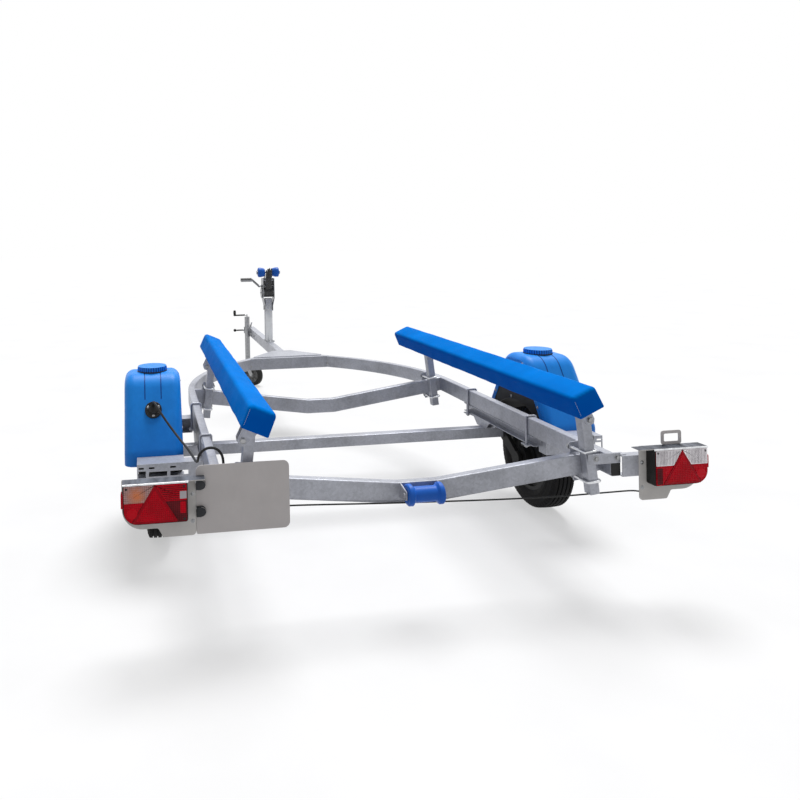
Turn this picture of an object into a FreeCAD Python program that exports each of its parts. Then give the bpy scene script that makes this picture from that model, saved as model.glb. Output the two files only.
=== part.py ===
import FreeCAD, Part
import math
import os

# A single-axle boat trailer: two bent side rails that meet at a drawbar, two V beams with
# padded bunks on posts, a keel roller, a winch post, a jockey stand and rear lamps.
# Millimetres. +Y points to the coupling, +X to the right, +Z up, and the ground is at zero.
# The origin lies on the ground under the middle of the whole trailer. A place along the
# trailer is given as its distance in front of the lamps' rear faces.

Vec = FreeCAD.Vector
X, Y, Z = Vec(1, 0, 0), Vec(0, 1, 0), Vec(0, 0, 1)
HOME = Vec(0, 0, 0)

# Overall length, and what all pieces share
overall_length = 4510.0
overrun = 50.0
seat_gap = 0.3
steel = 5.0
sheet = 3.0
rod = 5.0
nut_across = 17.0
nut_high = 8.0
tube_wall = 3.0
tube_corner = 6.0

# Side rails and drawbar
rail_wide = 40.0
rail_high = 80.0
rail_top = 542.0
rail_offset = 769.0
rail_rear = 67.0
bend_start = 1550.0
bend_radius = 1200.0
bend_angle = 47.5
drawbar_wide = 60.0
drawbar_high = 80.0
coupling_long = 180.0
cross_tube_back = 255.0
cross_tube_deep = 40.0

# V beams
beam_deep = 40.0
beam_high = 80.0
beam_flat_half = 80.0
rear_beam_rear = 131.0
rear_beam_low_top = 470.0
middle_beam_rear = 1600.0
middle_beam_low_top = 445.0

# Wheels and rubber-sprung axle
wheel_from_rear = 953.0
tyre_radius = 252.0
tyre_width = 124.0
tread_share = 0.76
tyre_shoulder = 26.0
track_half = 976.0
rim_seat_radius = 152.0
rim_lip_high = 14.0
rim_wide = 102.0
rim_slope_share = 0.25
rim_well_share = 0.33
rim_well_deep = 20.0
rim_wall = 4.0
hub_radius = 52.0
hub_flange_radius = 68.0
hub_long = 92.0
hand_holes = 8
hand_hole_radius = 14.0
wheel_studs = 4
stud_turn_share = 0.5
stud_circle = 50.0
spindle_radius = 17.5
shaft_clearance = 0.05
axle_square = 55.0
axle_top = 377.0
axle_rear = 1070.0
axle_half_long = 860.0
axle_wall = 4.0
arm_thick = 20.0
arm_eye_radius = 30.0
arm_taper_share = 0.8

# Carriers that hold the axle under the rails
carrier_rear = 600.0
carrier_front = 1290.0
carrier_high = 45.0
carrier_wall = 4.0
clamp_rear = 649.0
clamp_front = 1236.0
clamp_plate_long = 46.0
clamp_plate_wide = 78.0
cradle_base_long = 90.0
cradle_top_long = 190.0

# Mudguards: hollow moulded shells with a ribbed cap, and the stays under their two ends
guard_inner = 864.0
guard_width = 262.0
guard_wall = 5.0
guard_lip = 24.0
guard_edge = 44.0
guard_bottom = 420.0
guard_half_long = 293.0
guard_knee = 475.0
guard_top = 785.0
guard_top_half = 104.0
guard_top_round = 105.0
guard_knee_round = 60.0
guard_arch_gap = 40.0
band_half = 39.0
groove_wide = 4.0
groove_deep = 2.0
cap_radius = 70.0
cap_high = 24.0
cap_rib = 5.0
cap_ribs = 36
outlet_radius = 38.0
outlet_thick = 9.0
outlet_height = 640.0
nipple_radius = 7.0
nipple_long = 22.0
stay_deep = 100.0
stay_high = 75.0
stay_bottom = 387.0
stay_end = 1070.0
stay_wall = 3.0
stay_notch_long = 79.0
stay_notch_gap = 6.0
slot_high = 20.0
slot_long = 77.0
slot_space = 13.0
slot_middle = 418.0
end_hole_long = 32.0
end_hole_high = 28.0
end_hole_rim = 5.0
small_slot_long = 24.0
small_slot_high = 8.0
small_slot_middle = 444.0

# Bunks and their posts
bunk_rear = 20.0
bunk_front = 1885.0
bunk_wide = 108.0
bunk_thick = 90.0
bunk_round = 14.0
bunk_middle = 628.0
bunk_height = 764.0
bunk_tilt = 24.0
post_side = 40.0
post_wall = 3.0
post_place_right = 688.0
post_place_left = 675.0
post_below = 110.0
post_bolt_gap = 14.0
post_lean = 6.5
saddle_wide = 84.0
saddle_thick = 5.0
saddle_overhang = 12.0
ear_drop = 48.0
ear_eye = 20.0
backing_wide = 66.0
backing_margin = 38.0

# Keel roller
roller_long = 140.0
roller_flange = 18.0
roller_slope = 9.0
roller_end_radius = 40.0
roller_waist_radius = 29.0
roller_from_beam = 52.0
roller_below_beam_top = 28.0
roller_pin = 8.0
roller_gap = 2.0
bracket_thick = 4.0

# Lamps, their plates and the number panel
lamp_outer = 1110.0
lamp_wide = 224.0
lamp_top = 574.0
lamp_high = 140.0
lamp_deep = 50.0
lamp_round = 52.0
lamp_small_round = 8.0
plate_inner = 856.0
plate_over = 4.0
plate_low = 368.0
plate_round = 74.0
plate_step = 972.0
plate_step_run = 18.0
hood_inner = 825.0
hood_deep = 44.0
plate_light_radius = 17.0
plate_light_deep = 14.0
plate_light_heights = [547.0, 452.0]
bar_deep = 40.0
bar_outer = 1080.0
panel_inner = 519.0
panel_outer = 855.0
panel_top = 612.0
panel_low = 370.0
strap_over = 30.0
panel_round = 22.0
handle_inner = 952.0
handle_outer = 1038.0
handle_high = 54.0
handle_bar = 12.0
angle_inner = 655.0
angle_low = 513.0
angle_top = 552.0
angle_over = 24.0

# Winch post, winch and bow stop
winch_back = 1030.0
winch_post_side = 60.0
winch_post_top = 905.0
winch_plate_below = 100.0
winch_plate_above = 170.0
winch_plate_long = 96.0
winch_flare_below = 60.0
winch_flare_above = 7.0
winch_half_wide = 45.0
winch_plate = 4.0
drum_rise = 50.0
drum_radius = 16.0
drum_flange_radius = 38.0
drum_flange = 3.0
strap_radius = 34.0
gear_radius = 44.0
gear_thick = 8.0
gear_teeth = 32
tooth_shares = [0.0, 0.15, 0.4, 0.55]
mesh_gap = 1.0
pinion_radius = 11.0
crank_root = 74.0
crank_outset = 72.0
crank_reach = 108.0
crank_rise = 58.0
crank_bar_wide = 22.0
crank_bar_thick = 6.0
crank_grip_long = 92.0
crank_grip_radius = 13.0
shaft_radius = 7.0
bow_rise = 52.0
bow_back = 30.0
bow_roller_radius = 40.0
bow_roller_long = 58.0
bow_ear = 26.0
bow_pin = 8.0

# Coupling head
socket_radius = 25.3
socket_wall = 7.0
socket_height = 455.0
socket_skirt = 26.0

# Jockey stand
jockey_back = 150.0
jockey_radius = 24.0
jockey_wall = 3.0
jockey_top = 655.0
jockey_tube_low = 240.0
jockey_gap = 6.0
inner_wall = 3.0
inner_top = 480.0
clamp_low = 500.0
clamp_high = 560.0
clamp_ring = 9.0
clamp_screw_long = 92.0
clamp_knob_radius = 11.0
castor_trail = 62.0
castor_turn = 45.0
castor_wheel_radius = 100.0
castor_wheel_wide = 52.0
castor_side_gap = 5.0
fork_thick = 4.0
castor_pin = 7.5
king_pin = 6.0
castor_rim_share = 0.68
crank_arm_reach = 120.0

# The strap's free end and its hook over the bow pin
tail_wide = 48.0
tail_from_drum = 46.0
tail_rise = 30.0
hook_rod = 4.0
hook_drop = 22.0

# Cords. Each point of a route is (to the right, in front of the lamps' rear faces, up).
cord_arc_share = 0.45
lamp_cable_radius = 3.0
lamp_cable_route = [(-905, 53, 418), (-905, 86, 418), (-881, 110, 423), (-836, 108, 429), (-775, 84, 434),
                    (-700, 68, 437), (-620, 76, 434), (-550, 104, 425), (-491, 121, 419), (-79, 122, 397),
                    (489, 122, 376), (800, 118, 380), (850, 110, 384), (876, 98, 387), (893, 78, 388), (893, 53, 388)]
tank_hose_radius = 5.0
tank_hose_route = [(-995, 744, 672.4), (-995, 708, 694), (-985, 662, 690), (-962, 628, 655), (-925, 590, 607),
                   (-890, 535, 570), (-862, 455, 553), (-846, 360, 549), (-838, 275, 552), (-834, 228, 568),
                   (-832, 208, 600), (-805, 196, 628), (-768, 190, 628), (-744, 186, 602), (-741, 182, 562),
                   (-741, 182, 524)]
hose_gland_side = 16.0
hose_gland_from_rear = 182.0
hose_gland_top = 524.0
hose_gland_high = 24.0

rear = -overall_length / 2
front = overall_length / 2
rail_low = rail_top - rail_high
rail_inner = rail_offset - rail_wide / 2
rail_outer = rail_offset + rail_wide / 2
hub_y = rear + wheel_from_rear
bunk_turn = math.radians(bunk_tilt)
crown_low = 2 * castor_wheel_radius + castor_side_gap
inner_low = crown_low + 2 * steel + roller_gap / 4
plate_outer = lamp_outer + plate_over
drawbar_front = overall_length - coupling_long
jockey_from_rear = drawbar_front - jockey_back
winch_post_rear = drawbar_front - winch_back
winch_plate_low = winch_post_top - winch_plate_below
winch_plate_top = winch_post_top + winch_plate_above
winch_flare_low = winch_post_top - winch_flare_below
winch_flare_high = winch_post_top + winch_flare_above
drum_height = winch_post_top + drum_rise
pinion_height = drum_height + gear_radius + pinion_radius + mesh_gap
bow_height = winch_plate_top + bow_rise
tail_low = drum_height + tail_rise
bend_turn = math.radians(bend_angle)
bend_corner = bend_start + bend_radius * math.tan(bend_turn / 2)
rails_meet = bend_corner + (rail_offset - drawbar_wide / 2) / math.tan(bend_turn)


def save(shape, name):
    shape.exportStep("parts/" + name + ".step")


def both_sides(shape, name):
    """Save a right-hand piece and its mirror image on the left."""
    save(shape, name + "_right")
    save(shape.mirror(HOME, X), name + "_left")


def block(x0, x1, y0, y1, z0, z1):
    return Part.makeBox(x1 - x0, y1 - y0, z1 - z0, Vec(x0, y0, z0))


def bar(start, end, radius):
    return Part.makeCylinder(radius, (end - start).Length, start, end - start)


def pipe(start, end, radius, bore):
    way = (end - start).normalize() * overrun
    return bar(start, end, radius).cut(bar(start - way, end + way, bore))


def join(shapes):
    body = shapes[0]
    for other in shapes[1:]:
        body = body.fuse(other)
    return body.removeSplitter()


def rounded_edges(points, radii, closed):
    """Straight edges through the points, with a tangent arc at each corner that has a radius."""
    count = len(points)
    ends = []
    edges = []
    for i, point in enumerate(points):
        radius = radii[i]
        if radius == 0 or (not closed and i in (0, count - 1)):
            ends.append((point, point, None))
            continue
        back = (points[i - 1] - point).normalize()
        ahead = (points[(i + 1) % count] - point).normalize()
        half = back.getAngle(ahead) / 2
        reach = radius / math.tan(half)
        inward = (back + ahead).normalize()
        middle = point + inward * (radius / math.sin(half) - radius)
        ends.append((point + back * reach, point + ahead * reach, middle))
    for i in range(count):
        start, end, middle = ends[i]
        if middle is not None:
            edges.append(Part.Arc(start, middle, end).toShape())
        if i + 1 < count or closed:
            following = ends[(i + 1) % count][0]
            if (following - end).Length > steel / overall_length:
                edges.append(Part.LineSegment(end, following).toShape())
    return Part.Wire(edges)


def slab(points, radii, push):
    """A rounded flat outline pushed along a vector into a solid."""
    return Part.Face(rounded_edges(points, radii, True)).extrude(push)


def rectangle(middle, side, up, wide, high, corner):
    a, b = side * (wide / 2), up * (high / 2)
    points = [middle - a - b, middle + a - b, middle + a + b, middle - a + b]
    return rounded_edges(points, [corner] * len(points), True)


def swept(path, profile):
    return path.makePipeShell([profile], True, False)


def box_tube(path, start, side, up, wide, high, wall):
    """Outer and inner solids of a box section tube that follows a path."""
    outer = swept(path, rectangle(start, side, up, wide, high, tube_corner))
    inner_corner = tube_corner - wall / 2
    inner = swept(path, rectangle(start, side, up, wide - 2 * wall, high - 2 * wall, inner_corner))
    return outer, inner


def u_bolt(middle, across, legs, span, length):
    """A round bar bent to a U: its bridge at the middle, its two legs along a direction."""
    a = across * (span / 2)
    points = [middle - a + legs * length, middle - a, middle + a, middle + a + legs * length]
    path = rounded_edges(points, [0, 2 * rod, 2 * rod, 0], False)
    ring = Part.Wire(Part.Circle(points[0], legs, rod).toShape())
    bolt = swept(path, ring)
    nuts = [bar(tip - legs * (nut_high / 2), tip - legs * (3 * nut_high / 2), nut_across / 2)
            for tip in (points[0], points[3])]
    return join([bolt] + nuts)


def rail_path():
    start = Vec(rail_offset, rear + rail_rear - overrun, rail_top - rail_high / 2)
    corner = Vec(rail_offset, rear + bend_corner, start.z)
    run = (corner.x + drawbar_wide) / math.sin(bend_turn)
    end = corner + Vec(-math.sin(bend_turn), math.cos(bend_turn), 0) * run
    return start, rounded_edges([start, corner, end], [0, bend_radius, 0], False)


def rail_solids():
    start, path = rail_path()
    outer, inner = box_tube(path, start, X, Z, rail_wide, rail_high, tube_wall)
    keep = block(drawbar_wide / 2, rail_outer + overrun, rear + rail_rear, front, 0, rail_top + overrun)
    return outer.common(keep), inner.common(keep)


def beam(low_top, back):
    """A V beam between the rails' inner faces, with a short flat in its middle."""
    middle_y = rear + back + beam_deep / 2
    flat_z = low_top - beam_high / 2
    end_z = rail_top - beam_high / 2
    slope = (end_z - flat_z) / (rail_inner - beam_flat_half)
    reach = rail_inner + overrun
    far_z = end_z + overrun * slope
    points = [Vec(-reach, middle_y, far_z), Vec(-beam_flat_half, middle_y, flat_z),
              Vec(beam_flat_half, middle_y, flat_z), Vec(reach, middle_y, far_z)]
    path = rounded_edges(points, [0, beam_high, beam_high, 0], False)
    way = (points[1] - points[0]).normalize()
    up = way.cross(Y) * -1
    outer, inner = box_tube(path, points[0], Y, up, beam_deep, beam_high, tube_wall)
    keep = block(-rail_inner, rail_inner, rear, front, 0, rail_top)
    return outer.cut(inner).common(keep)


def beam_line(place, low_top):
    """Height of a V beam's centreline at a distance from the middle, and its slope."""
    slope = (rail_top - low_top) / (rail_inner - beam_flat_half)
    return low_top - beam_high / 2 + (place - beam_flat_half) * slope, math.atan(slope)


def chassis():
    outer, inner = rail_solids()
    both_sides(outer.cut(inner), "rail")

    tail = rear + rails_meet - cross_tube_back + cross_tube_deep
    half = drawbar_wide / 2
    drawbar_low = rail_top - drawbar_high
    middle = Vec(0, tail, rail_top - drawbar_high / 2)
    path = Part.Wire(Part.LineSegment(middle, Vec(0, rear + drawbar_front, middle.z)).toShape())
    solid, hollow = box_tube(path, middle, X, Z, drawbar_wide, drawbar_high, tube_wall)
    save(solid.cut(hollow), "drawbar")

    cross = block(-rail_inner, rail_inner, tail - cross_tube_deep, tail, rail_low, rail_top)
    cross = cross.cut(block(-rail_inner, rail_inner, tail - cross_tube_deep + tube_wall, tail - tube_wall,
                            rail_low + tube_wall, rail_top - tube_wall))
    cross = cross.cut(outer).cut(outer.mirror(HOME, X))
    inside = [piece for piece in cross.Solids if abs(piece.CenterOfMass.x) < half]
    save(inside[0], "front_cross_tube")

    # Gusset plates over and under the place where the rails meet the drawbar
    apex_y = rear + rails_meet
    plates = []
    spread = (apex_y - tail) * math.tan(bend_turn) + rail_wide
    for level in (rail_top, rail_low - steel):
        points = [Vec(-spread, tail, level), Vec(spread, tail, level),
                  Vec(half + rail_wide, apex_y + rail_wide, level), Vec(-half - rail_wide, apex_y + rail_wide, level)]
        plates.append(slab(points, [rail_wide / 2] * len(points), Z * steel))
    save(Part.makeCompound(plates), "nose_gusset")

    middle = beam(middle_beam_low_top, middle_beam_rear)
    save(middle.cut(outer).cut(outer.mirror(HOME, X)), "middle_cross_beam")
    save(beam(rear_beam_low_top, rear_beam_rear), "rear_cross_beam")


def axle():
    y0 = rear + axle_rear
    low = axle_top - axle_square
    centre = Vec(0, y0 + axle_square / 2, axle_top - axle_square / 2)
    path = Part.Wire(Part.LineSegment(centre - X * axle_half_long, centre + X * axle_half_long).toShape())
    outer = swept(path, rectangle(centre - X * axle_half_long, Y, Z, axle_square, axle_square, tube_corner))
    hole_side = axle_square - 2 * axle_wall
    inner = swept(path, rectangle(centre - X * axle_half_long, Y, Z, hole_side, hole_side, tube_wall))
    save(outer.cut(inner), "axle_tube")

    # Trailing arm: an eye on the axle tube's end, a web down to the spindle
    eye = Vec(axle_half_long, centre.y, centre.z)
    end = Vec(axle_half_long, hub_y, tyre_radius)
    arm = join([bar(eye, eye + X * arm_thick, arm_eye_radius),
                bar(end, end + X * arm_thick, arm_eye_radius),
                arm_web(eye, end)])
    spindle_tip = hub_face() + hub_long - hub_radius / 2
    spindle = bar(end, Vec(spindle_tip, end.y, end.z), spindle_radius)
    both_sides(join([arm, spindle]), "swing_arm")


def arm_web(eye, end):
    along = (end - eye).normalize()
    side = along.cross(X) * arm_eye_radius
    points = [eye + side, end + side * arm_taper_share, end - side * arm_taper_share, eye - side]
    return slab(points, [0] * len(points), X * arm_thick)


def hub_face():
    """Inner face of the hub, a running gap outside the trailing arm."""
    return axle_half_long + arm_thick + 2 * rod


def carriers():
    """Channel under the rail, the cradle on the axle tube, and two U-bolts round the rail."""
    x0, x1 = rail_inner, rail_outer
    y0, y1 = rear + carrier_rear, rear + carrier_front
    z0, z1 = rail_low - carrier_high, rail_low
    channel = block(x0, x1, y0, y1, z0, z1)
    channel = channel.cut(block(x0 - overrun, x1 - carrier_wall, y0 - overrun, y1 + overrun,
                                z0 + carrier_wall, z1 - carrier_wall))
    axle_y = rear + axle_rear + axle_square / 2
    pieces = [channel]
    for x in (x0, x1 - carrier_wall):
        base, top = cradle_base_long / 2, cradle_top_long / 2
        points = [Vec(x, axle_y - base, axle_top), Vec(x, axle_y + base, axle_top),
                  Vec(x, axle_y + top, z0 + steel), Vec(x, axle_y - top, z0 + steel)]
        pieces.append(slab(points, [0] * len(points), X * carrier_wall))
    pieces.append(block(x0, x1, axle_y - cradle_base_long / 2, axle_y + cradle_base_long / 2,
                        axle_top, axle_top + steel))
    span = rail_wide + 2 * rod + 2 * seat_gap
    for place in (clamp_rear, clamp_front):
        y = rear + place
        pieces.append(block(rail_offset - clamp_plate_wide / 2, rail_offset + clamp_plate_wide / 2,
                            y - clamp_plate_long / 2, y + clamp_plate_long / 2, z0 - steel, z0))
        bridge = Vec(rail_offset, y, rail_top + rod + seat_gap)
        pieces.append(u_bolt(bridge, X, Z * -1, span, rail_high + carrier_high + steel + 3 * nut_high / 2 + rod))
    both_sides(join(pieces), "axle_carrier")


def wheels():
    """Hub, rim and tyre turned about the spindle, drawn in a plane through the axis."""
    axis_start = Vec(0, hub_y, tyre_radius)

    def turned(points, radii):
        drawn = [Vec(x, hub_y, tyre_radius + r) for x, r in points]
        face = Part.Face(rounded_edges(drawn, radii, True))
        return face.revolve(axis_start, X, 360)

    mid, half = track_half, tyre_width / 2
    tread = half * tread_share
    shoulder = tyre_radius - tyre_shoulder
    bead = rim_wide / 2 - rim_wall - seat_gap
    seat = rim_seat_radius
    lip = seat + rim_lip_high
    widest = (seat + shoulder) / 2
    side = [(-bead, seat), (-bead, lip), (-half, widest), (-half + rod, shoulder), (-tread, tyre_radius)]
    tyre = [(mid + x, r) for x, r in side] + [(mid - x, r) for x, r in reversed(side)]
    fill = tyre_shoulder / 2
    both_sides(turned(tyre, [rod / 2, 0, fill, 0, fill, fill, 0, fill, 0, rod / 2]), "tyre")

    edge = rim_wide / 2
    slope = edge - rim_wide * rim_slope_share
    deep = edge - rim_wide * rim_well_share
    well = seat - rim_well_deep
    inside = [(-edge, lip), (-edge, seat - rim_wall), (-slope, seat - rim_wall), (-deep, well - rim_wall)]
    outside = [(-edge + rim_wall, lip), (-edge + rim_wall, seat - seat_gap), (-slope, seat - seat_gap), (-deep, well)]
    barrel = [(x, r) for x, r in inside] + [(-x, r) for x, r in reversed(inside)]
    barrel += [(-x, r) for x, r in outside] + [(x, r) for x, r in reversed(outside)]
    rim = turned([(mid + x, r) for x, r in barrel], [0] * len(barrel))
    disc = hub_face() + hub_long / 2
    face_x = disc
    bulge = face_x + 5 * rod
    inner_r = hub_radius - 3 * rod
    dish = [(face_x, inner_r), (face_x + rim_wall, inner_r), (face_x + rim_wall, hub_flange_radius + rod),
            (bulge + rim_wall, hub_flange_radius + 5 * rod), (bulge + rim_wall, well - rim_wall / 2),
            (bulge, well - rim_wall / 2), (bulge, hub_flange_radius + 5 * rod), (face_x, hub_flange_radius + 2 * rod)]
    disc_solid = turned(dish, [0] * len(dish))
    hand_ring = (hub_flange_radius + 5 * rod + well) / 2
    holes = []
    for step in range(hand_holes):
        angle = 2 * math.pi * step / hand_holes
        y, z = hub_y + hand_ring * math.sin(angle), tyre_radius + hand_ring * math.cos(angle)
        holes.append(bar(Vec(face_x - overrun, y, z), Vec(bulge + overrun, y, z), hand_hole_radius))
    for step in range(wheel_studs):
        angle = 2 * math.pi * (step + stud_turn_share) / wheel_studs
        y, z = hub_y + stud_circle * math.sin(angle), tyre_radius + stud_circle * math.cos(angle)
        holes.append(bar(Vec(face_x - rod, y, z), Vec(face_x + 2 * rod, y, z), rod + seat_gap))
    disc_solid = disc_solid.cut(Part.makeCompound(holes))
    both_sides(join([rim, disc_solid]), "wheel_rim")

    # Hub: a barrel on the spindle with a bolt flange, four studs with nuts, and a grease cap
    start = hub_face()
    bore = spindle_radius + shaft_clearance
    tip = start + hub_long
    inner_end = tip - hub_radius / 2 + rod
    profile = [(start, bore), (start, hub_radius), (disc - 2 * rod, hub_radius), (disc - 2 * rod, hub_flange_radius),
               (disc, hub_flange_radius), (disc, inner_r - seat_gap), (tip, inner_r - seat_gap - rod),
               (tip + 3 * rod, rod), (tip + 3 * rod, 0), (inner_end, 0), (inner_end, bore)]
    hub = turned(profile, [0] * len(profile))
    studs = []
    for step in range(wheel_studs):
        angle = 2 * math.pi * (step + stud_turn_share) / wheel_studs
        y, z = hub_y + stud_circle * math.sin(angle), tyre_radius + stud_circle * math.cos(angle)
        seat_x = disc + rim_wall
        studs.append(bar(Vec(disc - rod, y, z), Vec(seat_x + 2 * nut_high, y, z), rod))
        studs.append(bar(Vec(seat_x, y, z), Vec(seat_x + 3 * nut_high / 2, y, z), nut_across / 2))
    hub = join([hub] + studs)
    both_sides(hub, "wheel_hub")


def guard_outline(x, floor):
    half, top_half = guard_half_long, guard_top_half
    places = [(-half, floor), (-half, guard_knee), (-top_half, guard_top), (top_half, guard_top),
              (half, guard_knee), (half, floor)]
    points = [Vec(x, hub_y + y, z) for y, z in places]
    return rounded_edges(points, [0, guard_knee_round, guard_top_round, guard_top_round, guard_knee_round, 0], True)


def long_edges(solid, x):
    """The edges of a guard-shaped solid that lie in one end plane, without its straight bottom."""
    chosen = []
    for edge in solid.Edges:
        box = edge.BoundBox
        flat = abs(box.XMin - x) < seat_gap and abs(box.XMax - x) < seat_gap
        if flat and box.ZMax > guard_bottom + seat_gap:
            chosen.append(edge)
    return chosen


def guard_solid(x0, x1, inset, corner):
    """The guard's outer form, or with an inset the hollow inside it, open at its foot."""
    floor = guard_bottom if inset == 0 else guard_bottom - overrun
    wire = guard_outline(x0, floor)
    if inset > 0:
        wire = wire.makeOffset2D(-inset)
    solid = Part.Face(wire).extrude(X * (x1 - x0))
    edges = long_edges(solid, x0) + long_edges(solid, x1)
    return solid.makeFillet(corner, edges)


def slant():
    """Up the rear slope of the guard, and out of it."""
    up = Vec(0, guard_half_long - guard_top_half, guard_top - guard_knee).normalize()
    return up, Vec(0, -up.z, up.y)


def outlet_place():
    share = (outlet_height - guard_knee) / (guard_top - guard_knee)
    y = hub_y - guard_half_long + (guard_half_long - guard_top_half) * share
    return Vec(guard_inner + guard_width / 2, y, outlet_height)


def mudguards():
    x0, x1 = guard_inner, guard_inner + guard_width
    wall = guard_wall
    body = guard_solid(x0, x1, 0, guard_edge)
    body = body.cut(guard_solid(x0 + wall, x1 - wall, wall, guard_edge - wall))
    side = Part.Face(guard_outline(x0 - overrun, guard_bottom - overrun).makeOffset2D(-guard_lip))
    body = body.cut(side.extrude(X * (overrun + guard_edge)))
    arch = bar(Vec(x1 - 2 * wall, hub_y, tyre_radius), Vec(x1 + overrun, hub_y, tyre_radius),
               tyre_radius + guard_arch_gap)
    body = body.cut(arch)

    # Grooves that leave a raised band from the cap down to the outlet
    middle = x0 + guard_width / 2
    for edge in (-band_half, band_half - groove_wide):
        outer = Part.Face(guard_outline(middle + edge, guard_bottom - overrun))
        inner = Part.Face(guard_outline(middle + edge, guard_bottom - overrun).makeOffset2D(-groove_deep))
        ring = outer.cut(inner).extrude(X * groove_wide)
        above = block(x0, x1, rear, front, outlet_height + outlet_radius, guard_top + overrun)
        body = body.cut(ring.common(above))

    # Ribbed screw cap on top
    base = Vec(middle, hub_y, guard_top)
    cap = [bar(base - Z * wall, base + Z * cap_high, cap_radius - cap_rib / 2)]
    pitch = 2 * math.pi / cap_ribs
    for step in range(cap_ribs):
        spoke = Vec(math.cos(step * pitch), math.sin(step * pitch), 0)
        foot = base + spoke * (cap_radius - cap_rib / 2) + Z * cap_rib
        cap.append(bar(foot, foot + Z * (cap_high - 2 * cap_rib), cap_rib / 2))
    both_sides(join([body] + cap), "mudguard")

    # Round outlet on the rear slope, with a hose nipple on its upper part
    up, out = slant()
    place = outlet_place()
    disc = bar(place, place + out * outlet_thick, outlet_radius)
    dome = bar(place, place + out * (outlet_thick + nipple_radius), outlet_radius / 2)
    root = place + up * (outlet_radius / 2) + out * outlet_thick
    nipple = bar(root - out * rod, root + out * nipple_long, nipple_radius)
    both_sides(join([disc, dome, nipple]), "tank_outlet")


def stays():
    """Slotted channels from the rail's outer face to the guard's rear and front feet."""
    pieces = []
    for way in (-1, 1):
        near = hub_y + way * guard_half_long
        far = near + way * stay_deep
        y0, y1 = min(near, far), max(near, far)
        web = far if way < 0 else far - stay_wall
        channel = block(rail_outer, stay_end, y0, y1, stay_bottom, stay_bottom + stay_high)
        inner_y0 = y0 + stay_wall if way < 0 else y0 - overrun
        inner_y1 = y1 + overrun if way < 0 else y1 - stay_wall
        channel = channel.cut(block(rail_outer - overrun, stay_end + overrun, inner_y0, inner_y1,
                                    stay_bottom + stay_wall, stay_bottom + stay_high - stay_wall))
        tab = block(rail_outer, rail_outer + stay_wall, y0, y1, stay_bottom, rail_top - tube_corner)
        clamp = clamp_rear if way < 0 else clamp_front
        clamp_edge = rear + clamp + way * (clamp_plate_long / 2 + stay_notch_gap)
        edge = near - way * seat_gap
        notch = block(rail_outer - overrun, rail_outer + stay_notch_long, min(edge, clamp_edge), max(edge, clamp_edge),
                      stay_bottom - overrun, rail_top + overrun)
        # A hole at the outer end, then a row of slots with small slots over them
        hole = stay_end - end_hole_rim
        places = [(hole - end_hole_long, end_hole_long, end_hole_high, slot_middle)]
        places.append((hole - small_slot_long, small_slot_long, small_slot_high, small_slot_middle))
        x = hole - end_hole_long - slot_space - slot_long
        while x > rail_outer + slot_space:
            places.append((x, slot_long, slot_high, slot_middle))
            places.append((x + slot_long - small_slot_long, small_slot_long, small_slot_high, small_slot_middle))
            x -= slot_long + slot_space
        slots = [block(x, x + long, web - rod, web + stay_wall + rod, middle - high / 2, middle + high / 2)
                 for x, long, high, middle in places]
        pieces.append(join([channel.cut(Part.makeCompound(slots)), tab]).cut(notch))
    both_sides(Part.makeCompound(pieces), "mudguard_stays")


def bunk_axes():
    """Along the bunk's tilted top outwards and up, and square out of its top."""
    along = Vec(math.cos(bunk_turn), 0, math.sin(bunk_turn))
    out = Vec(-math.sin(bunk_turn), 0, math.cos(bunk_turn))
    return along, out


def bunks():
    along, out = bunk_axes()
    centre = Vec(bunk_middle, rear + bunk_rear, bunk_height)
    wire = rectangle(centre, along, out, bunk_wide, bunk_thick, bunk_round)
    pad = Part.Face(wire).extrude(Y * (bunk_front - bunk_rear))
    both_sides(pad, "bunk")


def posts(name, back, low_top):
    save(post(post_place_right, back, low_top), name + "_right")
    save(post(post_place_left, back, low_top).mirror(HOME, X), name + "_left")


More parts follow.
